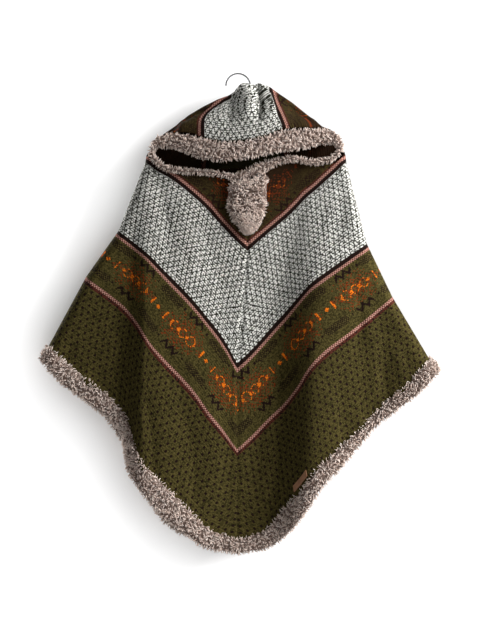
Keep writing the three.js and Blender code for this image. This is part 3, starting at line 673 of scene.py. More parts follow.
BACK_CREASES = {
    "left": [
        (-165, -215, -140, -430, 15, 2.6), (-90, -260, -70, -520, 18, -2.6),
        (-220, -480, -205, -700, 15, -3.0), (-40, -420, -36, -760, 16, 2.6),
        (-250, -560, -240, -760, 12, 2.8), (-180, -640, -160, -880, 14, -2.8),
        (-310, -560, -296, -720, 12, -2.8), (-84, -660, -80, -920, 14, 2.6),
    ],
    "right": [
        (198, -215, 176, -400, 14, 2.6), (112, -260, 90, -500, 18, -2.6),
        (236, -460, 246, -680, 14, -3.0), (60, -430, 56, -760, 16, 2.6),
        (280, -540, 300, -720, 12, 2.8), (190, -620, 196, -860, 14, -2.8),
        (330, -600, 350, -720, 10, -2.6), (100, -680, 98, -900, 12, 2.4),
    ],
}


SEAM_RIB, SEAM_GROOVE, SEAM_RIB_AT, SEAM_SPREAD = 0.8, 1.1, 7.0, 3.5


def body_half(side):
    """One half as a fine grid of the body surface, with its listed creases and a
    shallow groove beside a low rib along the centre seams."""
    flip = -1 if side == "right" else 1
    c = spaced((0, FRONT_COLUMNS, 121), (FRONT_COLUMNS, FOLD_END, 25), (FOLD_END, BODY_COLUMNS, 90))
    v = spaced((0, 1, 25), (1, 2, 33), (2, 3, 27), (3, 4, 31), (4, 4.35, 6))
    grid = body_point(side, c[:, None], v[None, :])
    uv = strip_uv(grid, v) - np.array([MOTIF_SHIFT * MM, 0])
    normals = surface_normals(grid, flip)
    front = c[:, None, None] <= FRONT_COLUMNS + FOLD_COLUMNS
    grid = np.where(front, creased(grid, normals, FRONT_CREASES[side]),
                    creased(grid, normals, BACK_CREASES[side]))
    x = grid[..., 0]
    edge = np.minimum(np.abs(x - x[:1]), np.abs(x - x[-1:]))
    rib = SEAM_RIB * np.exp(-(((edge - SEAM_RIB_AT) / SEAM_SPREAD) ** 2))
    rib = rib - SEAM_GROOVE * np.exp(-((edge / SEAM_SPREAD) ** 2))
    grid = grid + normals * rib[..., None]
    normals = surface_normals(grid, flip)
    return cloth_shell(f"body_{side}_knit", grid, normals, KNIT_WALL, uv, flip, STRIP_KNIT, STRIP_REVERSE)


for side in ("left", "right"):
    half = body_half(side)
    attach(half, "root")
    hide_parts(f"body_{side}")


# Hood: three knitted panels sewn to the neck edge, an olive one on each side with its dark
# and pink stripe along the seam, and a speckled grey one in the middle that goes up over
# the hanger's arms and is pinched by the hook.
HOOD_TOP = np.array([
    (-174, -138), (-160, -128), (-128, -106), (-104, -86), (-74, -68), (-42, -52), (-17, -43), (-5, -35),
    (12, -21), (25, -26), (44, -18), (63, -24), (81, -37), (112, -58), (143, -83), (176, -109),
    (195, -116), (214, -131),
], float)
# Stations: place, x at the top, x at the front edge.
HOOD_SECTIONS = np.array([(-1, -173, -162), (-0.36, -12, -69), (0.34, 64, 92), (1, 212, 199)], float)
HOOD_SEAMS = (-0.36, 0.34)
HOOD_TOP_RADIUS, HOOD_BULGE = 9.5, 8.0
HOOD_FOLD_AT, HOOD_FOLD_REACH = 0.9, 2.8
SLOPE_REACH = 8.0
HOOD_SHORTEST, HOOD_FORWARD, LEFT_SEAM_EASE = 4.0, 25.0, 0.625
EDGE_GAP = 1.0
# Brow band from left to right: x, z, half height, y.
BROW = np.array([
    (-164, -142, 15.5, -22), (-134, -141, 18, -26), (-104, -148, 21.5, -33), (-76, -158.5, 23, -39),
    (-50, -165, 23, -43), (-12, -166, 21.5, -47), (25, -161, 21.5, -48), (60, -153.5, 21, -46),
    (92, -143, 24, -42), (136, -139, 24, -34), (168, -132.5, 18.5, -28), (195, -133, 17.5, -23),
], float)


def brow(x, column):
    """One column of the brow table at x."""
    return np.interp(x, BROW[:, 0], BROW[:, column])


def hood_point(a, b):
    """Middle of the hood's wall: b goes from the brow up the front, over a half round on the
    hanger's arm and down to the back neck; a is the station from end to end."""
    a, b = np.broadcast_arrays(np.asarray(a, float), np.asarray(b, float))
    top = np.interp(a, HOOD_SECTIONS[:, 0], HOOD_SECTIONS[:, 1])
    front = np.interp(a, HOOD_SECTIONS[:, 0], HOOD_SECTIONS[:, 2])
    centre = np.interp(top, HOOD_TOP[:, 0], HOOD_TOP[:, 1]) - KNIT_WALL / 2 - HOOD_TOP_RADIUS
    slope = (brow(front + SLOPE_REACH, 1) - brow(front - SLOPE_REACH, 1)) / (2 * SLOPE_REACH)
    seat = brow(front, 1) + brow(front, 2) * np.hypot(1, slope) + EDGE_GAP
    lowest = centre - HOOD_SHORTEST
    forward = np.clip((lowest - seat) / HOOD_FORWARD, 0, 1)
    edge_depth = HOOD_TOP_RADIUS + (-brow(front, 3) - HOOD_TOP_RADIUS) * forward
    rise = np.clip(b, 0, 1)
    bent = np.sin(np.minimum(1, (1 - rise) / LEFT_SEAM_EASE) * math.pi / 2)
    share = np.clip(a / HOOD_SEAMS[0], 0, 1)
    ease = (1 - rise) + (bent - (1 - rise)) * share
    bulge = HOOD_BULGE * np.sin(math.pi * rise) * forward * (1 - np.abs(a))
    depth = edge_depth + (HOOD_TOP_RADIUS - edge_depth) * smooth_step(rise) + bulge
    edge = np.minimum(seat, lowest)
    leg = np.stack([top + (front - top) * ease, -depth, edge + (centre - edge) * rise], -1)
    angle = math.pi * (2 - np.clip(b, 1, 2))
    arc = np.stack([top, HOOD_TOP_RADIUS * np.cos(angle), centre + HOOD_TOP_RADIUS * np.sin(angle)], -1)
    rounding = np.maximum(0, (np.abs(a) - HOOD_FOLD_AT) / (1 - HOOD_FOLD_AT))
    flat = BACK_COLUMNS * (1 - np.minimum(1, np.abs(a) / HOOD_FOLD_AT))
    c = FOLD_END + flat - rounding * HOOD_FOLD_REACH
    neck = np.where((a < 0)[..., None], body_point("left", c, 0 * c), body_point("right", c, 0 * c))
    fall = np.clip(b - 2, 0, 1)
    back = np.stack([
        top + (neck[..., 0] - top) * smooth_step(fall),
        HOOD_TOP_RADIUS + (neck[..., 1] - HOOD_TOP_RADIUS) * fall,
        centre + (neck[..., 2] - centre) * fall,
    ], -1)
    return np.where((b < 1)[..., None], leg, np.where((b < 2)[..., None], arc, back))


HOOD_CREASES = [
    (39, -16, 41, -108, 6, -10.0), (15, -16, 17, -104, 17, 11.0),
    (62, -28, 70, -104, 9, 2.6), (-14, -48, -26, -120, 8, -3.4),
    (-70, -72, -98, -128, 9, -2.4), (104, -60, 122, -112, 10, -2.4),
    (150, -92, 160, -128, 9, 2.2), (-112, -96, -126, -132, 8, 2.2),
    (72, -32, 80, -108, 6, -2.6),
]


def hood_panel(name, start, stop, columns, uv_of, material, reverse):
    """A panel of the hood between two stations, as a fine grid with its creases."""
    a = np.linspace(start, stop, columns)
    b = spaced((0, 1, 34), (1, 2, 13), (2, 3, 26))
    grid = hood_point(a[:, None], b[None, :])
    normals = surface_normals(grid)
    uv = uv_of(grid)
    front = (grid[..., 1] < 0)[..., None]
    grid = np.where(front, creased(grid, normals, HOOD_CREASES), grid)
    return cloth_shell(name, grid, surface_normals(grid), KNIT_WALL, uv, 1, material, reverse)


def seam_uv(end):
    """Across is minus the distance to the nearest point of the seam edge, along is that
    point's length from the brow; end is -1 where the seam is the grid's last line, else 0."""
    def uv(grid):
        edge = grid[end]
        fine = np.linspace(0, len(edge) - 1, 400)
        edge = np.stack([np.interp(fine, np.arange(len(edge)), edge[:, i]) for i in range(3)], -1)
        far = np.linalg.norm(grid[:, :, None] - edge[None, None], axis=-1)
        return np.stack([lengths(edge, 0)[far.argmin(-1)], -far.min(-1)], -1) * MM
    return uv


def centre_uv(grid):
    """Along is the length across the panel, across the length from the brow up."""
    return np.stack([lengths(grid, 0), lengths(grid, 1)], -1) * MM


HOOD_CLOTH = {
    "knit": (STRIP_KNIT, STRIP_REVERSE),
    "marl_knit": (knit_material("speckled grey knit", marl_only=True),
                  knit_material("speckled grey knit reverse", marl_only=True, reverse=True)),
}
# Panel, its first and last station, columns, its map, cloth, flat size and area in metres.
HOOD_PANELS = [
    ("left", -1, HOOD_SEAMS[0], 48, seam_uv(-1), "knit", (0.24, 0.2), 0.021),
    ("centre", *HOOD_SEAMS, 64, centre_uv, "marl_knit", (0.3, 0.2), 0.035),
    ("right", HOOD_SEAMS[1], 1, 48, seam_uv(0), "knit", (0.24, 0.2), 0.021),
]
for part, start, stop, columns, uv_of, cloth, flat, area in HOOD_PANELS:
    panel = hood_panel(f"hood_{part}_knit", start, stop, columns, uv_of, *HOOD_CLOTH[cloth])
    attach(panel, "root")
    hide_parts(f"hood_{part}")


# Plush band round the hem: a 46 mm band of looped pile on a knitted back, folded over the
# edge and stitched down. The back is a rounded loop and the curly locks stand on it.
HEM_GAP = 1.2
PLUSH_HALF = 9.0
PILE = 5.0
HEM_SQUARENESS = 0.6
HEM_RINGS, HEM_CORNERS = 150, 16


def closed_loop(name, sections, material):
    """Band whose sections follow one another round a closed loop."""
    count, size = sections.shape[:2]
    here = np.arange(count * size).reshape(count, size)
    nxt = np.roll(here, -1, 0)
    faces = np.stack([here, nxt, np.roll(nxt, -1, 1), np.roll(here, -1, 1)], -1).reshape(-1, 4)
    points = sections.reshape(-1, 3)
    a, b, c = points[faces[:, 0]], points[faces[:, 1]], points[faces[:, 2]]
    if np.einsum("ij,ij->i", a, np.cross(b, c)).sum() < 0:
        faces = faces[:, ::-1]
    return make_mesh(name, points, [faces], None, material)


def object_place(tree):
    """The Object coordinates of a piece."""
    return add_node(tree, "ShaderNodeTexCoord").outputs["Object"]


def textured(tree, kind, inputs, dark, pale):
    """A colour between two by a texture's factor on object coordinates."""
    texture = add_node(tree, kind, inputs)
    if not texture.inputs["Vector"].is_linked:
        feed(texture, {"Vector": object_place(tree)})
    return mix_colour(tree, texture.outputs["Fac"], dark, pale)


# Pile: paler towards the tips and dark at the roots, the dark being painted shade deep in the pile, with
# every lock a little different; under it a darker knit.
PLUSH, plush_tree, plush_shader = new_material("curly plush pile", {
    "Roughness": 0.9, "Specular IOR Level": 0.25, "Sheen Weight": 0.12, "Sheen Roughness": 0.4,
})
lock_chance, lock_height = strip_place(plush_tree)
lock = mix_colour(plush_tree, lock_chance, (0.66, 0.5, 0.42, 1), (1.0, 0.88, 0.8, 1))
# Dark lock roots: painted shade between the locks.
feed(plush_shader, {"Base Color": mix_colour(plush_tree, lock_height, (0.1, 0.068, 0.054, 1), lock)})
PLUSH_BACK, back_tree, back_shader = new_material("plush backing", {"Roughness": 0.95})
feed(back_shader, {"Base Color": textured(
    back_tree, "ShaderNodeTexNoise", {"Scale": 260.0}, (0.12, 0.083, 0.066, 1), (0.24, 0.17, 0.14, 1))})
LOCK_RINGS = 4
LOCK_TURN, LOCK_LEAN, LOCK_COIL, LOCK_RADIUS = 1.3, (0.4, 1.0), (2.5, 5.5), (0.42, 0.6)
LOCK_SWING, LOCK_TAPER, LOCK_SEAT = 0.3, 0.75, 0.8
LOCK_REACH = (7.0, 10.5)
# Locks lean together in tufts: tuft size in millimetres, lean for each millimetre off centre.
TUFT = 9.0
PULL_IN = 0.09
DROOP = 0.16

def pile_of_locks(name, roots, normals, sideways, reach, width, seed, pull=0.0):
    """Tapered three-sided locks. The middle of each runs from its root along the lean, plus
    a small widening coil; the rings shrink to a point. Slow sines of the place turn neighbours
    alike. UV holds the lock's chance and height."""
    rng = np.random.default_rng(seed)
    count = len(roots)
    x, z = roots[:, 0], roots[:, 2]
    turn = 3 * np.sin(x / 15 + 2 * np.sin(z / 21)) + 3 * np.sin(z / 17 - x / 27)
    turn = turn + rng.uniform(-LOCK_TURN, LOCK_TURN, count)
    other = np.cross(normals, sideways)
    lean = rng.uniform(*LOCK_LEAN, count)[:, None]
    way = normals + (sideways * np.cos(turn)[:, None] + other * np.sin(turn)[:, None]) * lean
    way = way + pull * PULL_IN
    way[:, 2] -= DROOP
    way = unit(way)
    u = unit(np.cross(way, sideways + 0.3 * normals))
    w = np.cross(way, u)
    t = np.linspace(0, 1, LOCK_RINGS + 1)
    coil = (turn[:, None] + t[None, :] * rng.uniform(*LOCK_COIL, count)[:, None])[..., None]
    swing = (width * LOCK_SWING * t[None, :] ** 0.8)[..., None]
    middle = roots[:, None] + way[:, None] * (reach[:, None] * t)[..., None]
    middle = middle + (u[:, None] * np.cos(coil) + w[:, None] * np.sin(coil)) * swing
    radius = width * rng.uniform(*LOCK_RADIUS, count)[:, None] * (1 - t[None, :-1] ** 1.6 * LOCK_TAPER)
    corner = (np.arange(3) * 2 * math.pi / 3)[None, None, :, None]
    spread = u[:, None, None] * np.cos(corner) + w[:, None, None] * np.sin(corner)
    rings = middle[:, :-1, None] + spread * radius[:, :, None, None]
    points = np.concatenate([rings.reshape(count, -1, 3), middle[:, -1:]], 1)
    size = points.shape[1]
    j, k = np.meshgrid(np.arange(LOCK_RINGS - 1), np.arange(3), indexing="ij")
    here, up = (j * 3 + k).ravel(), (j * 3 + (k + 1) % 3).ravel()
    side_faces = np.stack([here, up, up + 3, here + 3], -1)
    last = (LOCK_RINGS - 1) * 3 + np.arange(3)
    tip_faces = np.stack([last, np.roll(last, -1), np.full(3, size - 1)], -1)
    base = (np.arange(count) * size)[:, None, None]
    faces = [(side_faces[None] + base).reshape(-1, 4), (tip_faces[None] + base).reshape(-1, 3)]
    if np.einsum("ij,ij->i", np.cross(u, w), way).mean() < 0:
        faces = [part[:, ::-1] for part in faces]
    chance = np.repeat(rng.uniform(0, 1, count), size)
    height = np.tile(np.concatenate([np.repeat(t[:-1], 3), [1.0]]), count)
    uv = np.stack([chance, np.clip(0.2 + height * 1.1, 0, 1)], -1)
    return make_mesh(name, points.reshape(-1, 3), faces, uv, PLUSH, 180)


def grid_at(grid, s, k):
    """Bilinear value of a grid at fractional places, wrapping round both ways."""
    count, size = grid.shape[:2]
    i, j = np.floor(s).astype(int), np.floor(k).astype(int)
    f, g = (s - i)[..., None], (k - j)[..., None]
    near = grid[i % count, j % size] * (1 - g) + grid[i % count, (j + 1) % size] * g
    far = grid[(i + 1) % count, j % size] * (1 - g) + grid[(i + 1) % count, (j + 1) % size] * g
    return near * (1 - f) + far * f


def scattered(sections, spacing, seed, first=0.0, last=None):
    """Places spread evenly over a band of sections with a random nudge: fractional section
    and corner numbers, as many as the surface has squares of the given spacing."""
    rng = np.random.default_rng(seed)
    count, size = sections.shape[:2]
    last = count if last is None else last
    round_steps = np.linalg.norm(np.roll(sections, -1, 1) - sections, axis=-1)
    along_steps = np.linalg.norm(np.roll(sections, -1, 0) - sections, axis=-1).mean(1)
    cells = round_steps * along_steps[:, None]
    inside = (np.arange(count) >= int(first)) & (np.arange(count) < int(last))
    cells = cells * inside[:, None]
    total = int(cells.sum() / spacing ** 2)
    order = np.cumsum(cells.ravel())
    picks = (np.arange(total) + rng.uniform(0, 1, total)) * order[-1] / total
    cell = np.searchsorted(order, picks).clip(0, len(order) - 1)
    return cell // size + rng.uniform(0, 1, total), cell % size + rng.uniform(0, 1, total)


def surface_normals_loop(sections):
    """Unit normals of a looped band, pointing away from each section's middle."""
    along = np.roll(sections, -1, 0) - np.roll(sections, 1, 0)
    round_it = np.roll(sections, -1, 1) - np.roll(sections, 1, 1)
    cross = unit(np.cross(along, round_it))
    away = sections - sections.mean(1, keepdims=True)
    sign = np.sign(np.einsum("ijk,ijk->ij", cross, away))[..., None]
    return cross * np.where(sign == 0, 1, sign)


def band_pile(name, sections, spacing, seed, width, first=0.0, last=None):
    """Locks all over a stretch of a looped band of sections. Each leans to the middle of its
    tuft, a cell of the band that is nudged to one side by a sine of its number."""
    s, k = scattered(sections, spacing, seed, first, last)
    roots = grid_at(sections, s, k)
    normals = unit(grid_at(surface_normals_loop(sections), s, k))
    steps = [np.roll(sections, -1, axis) - sections for axis in (0, 1)]
    along = grid_at(steps[0], s, k)
    along -= normals * np.einsum("ij,ij->i", along, normals)[:, None]
    rng = np.random.default_rng(seed + 1)
    reach = rng.uniform(*LOCK_REACH, len(roots))
    step_s, step_k = (TUFT / np.linalg.norm(step, axis=-1).mean() for step in steps)
    cell_s = np.floor(s / step_s)
    cell_k = np.floor(k / step_k + 0.5 * (cell_s % 2))
    nudge = 0.3 * np.sin(np.stack([cell_s * 12.9 + cell_k * 78.2, cell_s * 39.3 + cell_k * 11.1]) * 43.7)
    heart_k = (cell_k + 0.5 + nudge[1] - 0.5 * (cell_s % 2)) * step_k
    pull = grid_at(sections, (cell_s + 0.5 + nudge[0]) * step_s, heart_k) - roots
    pull -= normals * np.einsum("ij,ij->i", pull, normals)[:, None]
    roots = roots - normals * LOCK_SEAT
    return pile_of_locks(name, roots, normals, unit(along), reach, width, seed + 2, pull)


def hem_sections(shrink):
    """Sections of the hem band from the right front round the back to the left front, each
    a squared oval between the body's lower line and the hem's edge, drawn in by the pile."""
    parts = []
    for side, flip in (("right", -1), ("left", 1)):
        c = np.linspace(0, BODY_COLUMNS, HEM_RINGS)
        if side == "left":
            c = c[::-1][1:-1]
        top = body_point(side, c, np.full_like(c, 4.0))
        edge = body_point(side, c, np.full_like(c, 4.999))
        aside = body_point(side, np.clip(c + 0.05, 0, BODY_COLUMNS), np.full_like(c, 4.5))
        before = body_point(side, np.clip(c - 0.05, 0, BODY_COLUMNS), np.full_like(c, 4.5))
        normal = unit(np.cross(aside - before, edge - top) * flip)[:, None]
        length = np.linalg.norm(edge - top, axis=-1)
        across = ((edge - top) / length[:, None])[:, None]
        angle = np.arange(HEM_CORNERS) * 2 * math.pi / HEM_CORNERS
        bulge = np.sign(np.sin(angle)) * np.abs(np.sin(angle)) ** HEM_SQUARENESS
        reach = (length / 2 - HEM_GAP - shrink)[:, None, None]
        parts.append((top + edge)[:, None] / 2 - across * np.cos(angle)[None, :, None] * reach
                     + normal * (bulge * (PLUSH_HALF - shrink))[None, :, None])
    return np.concatenate(parts)


hem_rings = hem_sections(PILE)
hem = closed_loop("hem_plush_backing", hem_rings, PLUSH_BACK)
quarter = len(hem_rings) / 4
hem_piles = [
    band_pile(f"hem_pile_{i + 1}", hem_rings, spacing=3.25, seed=40 + 10 * i, width=2.6,
              first=i * quarter, last=(i + 1) * quarter)
    for i in range(4)
]
for piece in (hem, *hem_piles):
    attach(piece, "root")
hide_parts("hem_trim")


# Plush band round the face opening: it lies over the brow, turns at both ends of the
# opening and goes back along the chin, a few millimetres wide where the neck line rolls in.
LEFT_TURN = np.array([(-177, -178, 7, -23), (-181, -166, 7, -22), (-177, -151, 10, -22)], float)
RIGHT_TURN = np.array([(209.5, -141, 12, -22), (214.5, -154, 7.5, -22), (211, -168, 7, -23)], float)
CHIN_HALF = {
    "left": (12, 9, 5.5, 5, 5, 5.5, 6, 6.5, 7, 7, 7),
    "right": (13, 13.5, 13, 10, 8, 7, 6.5, 6.5, 7, 7, 7),
}
CHIN_END = {"left": 0.86, "right": 0.88}
CHIN_FORWARD = 5.0


def chin_rows(side):
    """Middle of the chin band along one side's neck line: the edge raised by the half height."""
    c = np.linspace(0, CHIN_END[side] * FRONT_COLUMNS, 28)
    half = smooth_table(CHIN_HALF[side], c / FRONT_COLUMNS)
    edge = body_point(side, c, 0 * c)
    return np.stack([edge[:, 0], edge[:, 2] + half + EDGE_GAP, half, edge[:, 1] - CHIN_FORWARD], -1)


def face_path():
    """Loop of x, z, half height, y round the opening, smoothed and evenly spaced."""
    x = np.linspace(BROW[0, 0], BROW[-1, 0], 48)
    brow_rows = np.stack([x, brow(x, 1), brow(x, 2), brow(x, 3)], -1)
    chin = [chin_rows("right")[::-1], chin_rows("left")[1:]]
    rows = np.concatenate([*chin, LEFT_TURN, brow_rows, RIGHT_TURN])
    closed = np.concatenate([rows, rows[:1]])
    step = np.concatenate([[0], np.cumsum(np.hypot(*np.diff(closed[:, :2], axis=0).T))])
    even = np.linspace(0, step[-1], 221)[:-1]
    path = np.stack([np.interp(even, step, closed[:, i]) for i in range(4)], -1)
    for _ in range(3):
        path = path * 0.5 + (np.roll(path, 1, 0) + np.roll(path, -1, 0)) * 0.25
    return path


FACE_SQUEEZE, FACE_SQUARENESS, FACE_CORNERS = 0.62, 0.8, 14


def face_sections(shrink):
    """Ovals across the loop in the plane of x and z, drawn in by the pile where they are
    wide and by a share of their half height where they are narrow."""
    path = face_path()
    way = unit(np.roll(path[:, :2], -1, 0) - np.roll(path[:, :2], 1, 0))
    half = np.maximum(path[:, 2] - shrink, path[:, 2] * (1 - FACE_SQUEEZE))
    angle = np.arange(FACE_CORNERS) * 2 * math.pi / FACE_CORNERS
    across = half[:, None] * np.cos(angle)
    deep = np.sign(np.sin(angle)) * np.abs(np.sin(angle)) ** FACE_SQUARENESS * (PLUSH_HALF - shrink)
    return np.stack([
        path[:, None, 0] - way[:, None, 1] * across,
        path[:, None, 3] + np.broadcast_to(deep, across.shape),
        path[:, None, 1] + way[:, None, 0] * across,
    ], -1)


face_rings = face_sections(PILE)
face = closed_loop("hood_plush_backing", face_rings, PLUSH_BACK)
face_pile = band_pile("hood_pile", face_rings, spacing=3.0, seed=90, width=2.5)
for piece in (face, face_pile):
    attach(piece, "root")
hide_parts("hood_trim")


# Plush tab: a rounded tongue of the same plush sewn under the chin band at the centre front,
# lying on the yoke.
TAB = np.array([
    (-218, 22.5, 36), (-240, 22, 40), (-261, 19, 43), (-282, 17.5, 41.5), (-300, 19.5, 35),
    (-313, 21, 27.5), (-322, 22, 19), (-328, 22.5, 11), (-331, 22.5, 4),
], float)
TAB_THICKNESS, TAB_RIM, TAB_LIFT = 16.0, 5.0, 1.2
TAB_SIDE, TAB_ROUND, TAB_TIP, TAB_LEAST = 0.93, 3.5, 0.2, 1.5
TAB_BACKING = 4.0


def tab_grid():
    """Columns across the tab, each running down it; the first row follows the neck line."""
    across = np.linspace(-1, 1, 21)[:, None]
    row = np.linspace(0, len(TAB) - 1, 33)
    z, x_mid, half = (np.interp(row, np.arange(len(TAB)), TAB[:, i]) for i in range(3))
    x = x_mid[None] + across * half[None] * TAB_SIDE
    z = np.broadcast_to(z[None], x.shape).copy()
    c = np.linspace(0, FRONT_COLUMNS, 200)
    left, right = body_point("left", c, 0 * c), body_point("right", c, 0 * c)
    line_x = np.concatenate([left[::-1, 0], right[1:, 0]])
    line_z = np.concatenate([left[::-1, 2], right[1:, 2]])
    pull = np.clip(1 - row / 2, 0, 1)[None]
    z = z + (np.interp(x, line_x, line_z) - TAB_LIFT - z) * pull
    end = np.minimum(1, (len(TAB) - 1 - row) / TAB_ROUND + TAB_TIP)[None]
    dome = np.sqrt(np.maximum(0, 1 - across ** 2)) * np.sqrt(end)
    back = -front_depth(x, z) - KNIT_WALL / 2 - TAB_LIFT
    thick = np.maximum(TAB_RIM + (TAB_THICKNESS - TAB_RIM) * dome - PILE, TAB_LEAST)
    return np.stack([x, back - thick / 2, z], -1), thick


TAB_LOCKS, TAB_LOCK_REACH = 1800, (6.5, 10.0)
RIM_SIDE, RIM_END, RIM_LEAN = 5, 12, 0.8
TAB_HEART = np.array([19.0, 0, -262.0])


def tab_pile(middle, normals, thick):
    """Locks on the front and round the rim of the tab, where they lean outwards."""
    front = middle + normals * thick[..., None] / 2
    rng = np.random.default_rng(71)
    columns, rows = front.shape[0] - 1, front.shape[1] - 1
    i, j = rng.uniform(0, columns - 0.001, TAB_LOCKS), rng.uniform(0, rows - 0.001, TAB_LOCKS)
    roots = grid_at(front, i, j)
    rim = np.maximum(np.abs(i / columns * 2 - 1) ** RIM_SIDE, (j / rows) ** RIM_END)
    heading = unit((roots - TAB_HEART) * (1, 0, 1))
    out = unit(grid_at(normals, i, j) + heading * (rim * RIM_LEAN)[:, None])
    aside = unit(np.cross(out, np.array([0.0, 0, 1.0])))
    reach = rng.uniform(*TAB_LOCK_REACH, TAB_LOCKS)
    return pile_of_locks("neck_tab_pile", roots - out * LOCK_SEAT, out, aside, reach, 2.5, 72)


tab_middle, tab_thick = tab_grid()
tab_flip = -1 if surface_normals(tab_middle)[10, 10, 1] > 0 else 1
tab_normals = surface_normals(tab_middle, tab_flip)
tab = cloth_shell("neck_tab_backing", tab_middle, tab_normals, TAB_BACKING,
                  np.zeros((*tab_middle.shape[:2], 2)), tab_flip, PLUSH_BACK)
tab_locks = tab_pile(tab_middle, tab_normals, tab_thick)
for piece in (tab, tab_locks):
    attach(piece, "root")
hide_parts("neck_tab")


# Hem tab: a blank piece of tan leather caught in the hem seam of the right front. The woven
# tab inside the back neck is blank as well.
LABEL_WALL, LABEL_LIFT = 1.8, 1.1
# Start, end and points as a share of the front from its centre, and of the last sixth of the
# lower panel above the hem.
LABEL_ALONG, LABEL_DOWN = (0.29, 0.372, 15), (0.44, 0.88, 9)

LEATHER, leather_tree, leather_shader = new_material("tan leather", {"Roughness": 0.55})
pebble = add_node(leather_tree, "ShaderNodeTexVoronoi", {
    "Vector": object_place(leather_tree), "Scale": 900.0,
})
leather_bump = add_node(leather_tree, "ShaderNodeBump", {
    "Strength": 0.35, "Distance": 0.0004, "Height": pebble.outputs["Distance"],
})
feed(leather_shader, {
    "Base Color": textured(leather_tree, "ShaderNodeTexNoise", {"Scale": 120.0, "Detail": 4.0},
                           (0.16, 0.07, 0.03, 1), (0.37, 0.18, 0.09, 1)),
    "Normal": leather_bump.outputs["Normal"],
})


def hem_label():
    """Small piece that follows the right front just above the hem seam, moved out."""
    c = np.linspace(*LABEL_ALONG) * FRONT_COLUMNS
    v = 3 + (5 + np.linspace(*LABEL_DOWN)) / 6
    grid = body_point("right", c[:, None], v[None, :])
    normals = surface_normals(grid, -1)
    out = normals * (KNIT_WALL / 2 + LABEL_LIFT + LABEL_WALL / 2)
    grid = creased(grid, normals, FRONT_CREASES["right"]) + out
    uv = np.zeros((len(c), len(v), 2))
    return cloth_shell("hem_leather_tab", grid, normals, LABEL_WALL, uv, -1, LEATHER)


label = hem_label()
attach(label, "root")
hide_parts("hem_label")


def dressed(node, material):
    """A solid of the frame with a material of the scene in place of its own."""
    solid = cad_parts[node]
    solid.data.materials.clear()
    solid.data.materials.append(material)
    return solid


TAPE, tape_tree, tape_shader = new_material("plain woven tape", {"Roughness": 0.8})
feed(tape_shader, {"Base Color": textured(
    tape_tree, "ShaderNodeTexWave", {"Scale": 500.0}, (0.36, 0.27, 0.18, 1), (0.5, 0.39, 0.27, 1))})
tape = dressed("neck_label", TAPE)


# Hanger: a varnished wooden bar inside the hood and shoulders, with a plated wire hook that
# comes out through the crown.
WOOD, wood_tree, wood_shader = new_material("varnished beech", {"Roughness": 0.35, "Coat Weight": 0.4})
along_grain = add_node(wood_tree, "ShaderNodeMapping", {
    "Vector": object_place(wood_tree), "Scale": (8.0, 160.0, 160.0),
})
feed(wood_shader, {"Base Color": textured(
    wood_tree, "ShaderNodeTexNoise",
    {"Vector": along_grain.outputs["Vector"], "Scale": 1.0, "Detail": 5.0},
    (0.25, 0.13, 0.055, 1), (0.46, 0.28, 0.14, 1))})
bar = dressed("hanger_bar", WOOD)

STEEL, steel_tree, steel_shader = new_material("plated steel wire", {
    "Base Color": (0.38, 0.38, 0.39, 1), "Metallic": 1.0,
})
haze = add_node(steel_tree, "ShaderNodeTexNoise", {
    "Vector": object_place(steel_tree), "Scale": 90.0,
})
roughness = add_node(steel_tree, "ShaderNodeMapRange", {
    "Value": haze.outputs["Fac"], "To Min": 0.16, "To Max": 0.34,
})
feed(steel_shader, {"Roughness": roughness.outputs["Result"]})
hook = dressed("hanger_hook", STEEL)


# Studio: a pale floor below the garment and a pale glowing wall behind it, which is clear from
# the back and to the light behind it; the glow of both is dimmed near the garment as a painted
# shadow; a large soft light from the upper right, a weak one from the left front and one from
# behind for the views of the back.
SHADOW_PAINT_REACH, SHADOW_PAINT_FALL = 0.22, 2.3
FLOOR_Z, FLOOR_HALF = -1.5, 6.0
WALL_Y, WALL_HALF, WALL_TOP = 0.058, 2.0, 1.4


def plain_stage(name, corners, albedo, glow_strength, one_sided):
    """A flat pale sheet through four corners, in metres. Its glow is seen but lights nothing,
    and is weaker where something stands close to it, a painted contact shadow. One-sided, it is
    clear from the back and casts no shadow."""
    mesh = bpy.data.meshes.new(name)
    mesh.from_pydata(corners, [], [(0, 1, 2, 3)])
    obj = bpy.data.objects.new(name, mesh)
    bpy.context.scene.collection.objects.link(obj)
    material, tree, shader = new_material(name, {
        "Base Color": (albedo, albedo, albedo, 1), "Roughness": 0.9, "Specular IOR Level": 0.1,
    })
    # The glow fades near the garment: a painted contact shadow on the floor and wall.
    nearby = add_node(tree, "ShaderNodeAmbientOcclusion", {"Distance": SHADOW_PAINT_REACH})
    painted_shadow_fade = Signal(tree, nearby.outputs["AO"]).apply("POWER", SHADOW_PAINT_FALL)
    glow = add_node(tree, "ShaderNodeEmission", {"Strength": painted_shadow_fade * glow_strength})
    lifted = add_node(tree, "ShaderNodeAddShader", {0: shader.outputs[0], 1: glow.outputs[0]})
    ray = add_node(tree, "ShaderNodeLightPath")
    surface = add_node(tree, "ShaderNodeMixShader", {
        0: ray.outputs["Is Camera Ray"], 1: shader.outputs[0], 2: lifted.outputs[0],
    })
    if one_sided:
        turned = Signal(tree, add_node(tree, "ShaderNodeNewGeometry").outputs["Backfacing"])
        clear = add_node(tree, "ShaderNodeBsdfTransparent")
        surface = add_node(tree, "ShaderNodeMixShader", {
            0: turned | ray.outputs["Is Shadow Ray"], 1: surface.outputs[0], 2: clear.outputs[0],
        })
    feed(tree.nodes["Material Output"], {"Surface": surface.outputs[0]})
    mesh.materials.append(material)


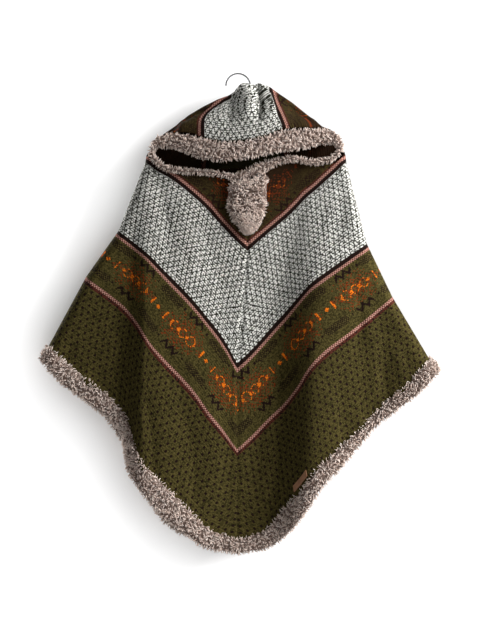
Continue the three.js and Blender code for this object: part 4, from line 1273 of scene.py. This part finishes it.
ROUND = ((-1, -1), (1, -1), (1, 1), (-1, 1))
floor = [(x * FLOOR_HALF, y * FLOOR_HALF, FLOOR_Z) for x, y in ROUND]
wall = [(x * WALL_HALF, WALL_Y, WALL_TOP if up > 0 else FLOOR_Z) for x, up in ROUND]
plain_stage("floor", floor, albedo=0.4, glow_strength=0.15, one_sided=False)
plain_stage("wall", wall, albedo=0.75, glow_strength=0.98, one_sided=True)

LIGHT_AIM, LIGHT_SIZE = (0.0, 0.0, -0.5), 2.0


def soft_light(name, place, power):
    """A square area light at a place, turned to the garment's middle."""
    data = bpy.data.lights.new(name, "AREA")
    data.shape = "SQUARE"
    data.size = LIGHT_SIZE
    data.energy = power
    obj = bpy.data.objects.new(name, data)
    bpy.context.scene.collection.objects.link(obj)
    obj.location = place
    obj.rotation_mode = "QUATERNION"
    obj.rotation_quaternion = (Vector(place) - Vector(LIGHT_AIM)).to_track_quat("Z", "Y")


soft_light("key", (3.9, -1.4, 1.4), 455)
soft_light("fill", (-1.4, -3.2, 1.0), 9)
soft_light("back_fill", (-2.6, 2.4, 1.3), 230)

# World: a bright ground for the camera, weak light for the object.
WORLD_LIGHT, WORLD_SEEN = 0.08, 0.7
world = bpy.data.worlds.new("studio")
world.use_nodes = True
world_ray = add_node(world.node_tree, "ShaderNodeLightPath").outputs["Is Camera Ray"]
feed(world.node_tree.nodes["Background"], {
    "Color": (1, 1, 1, 1),
    "Strength": Signal(world.node_tree, world_ray).times_plus(WORLD_SEEN, WORLD_LIGHT),
})
bpy.context.scene.world = world
bpy.context.scene.view_settings.view_transform = "Standard"

# Camera: head on, 2.1 mm of the garment to each of the picture's 640 rows.
CAMERA_DISTANCE, SENSOR = 4.0, 36.0
MM_A_ROW, ROWS = 2.1, 640
camera_data = bpy.data.cameras.new("camera")
camera_data.sensor_width = SENSOR
camera_data.lens = SENSOR * CAMERA_DISTANCE / (ROWS * MM_A_ROW * MM)
camera = bpy.data.objects.new("camera", camera_data)
camera.location = (0.0042, -CAMERA_DISTANCE, -0.5156)
camera.rotation_euler = (math.pi / 2, 0, 0)
bpy.context.scene.collection.objects.link(camera)
bpy.context.scene.camera = camera
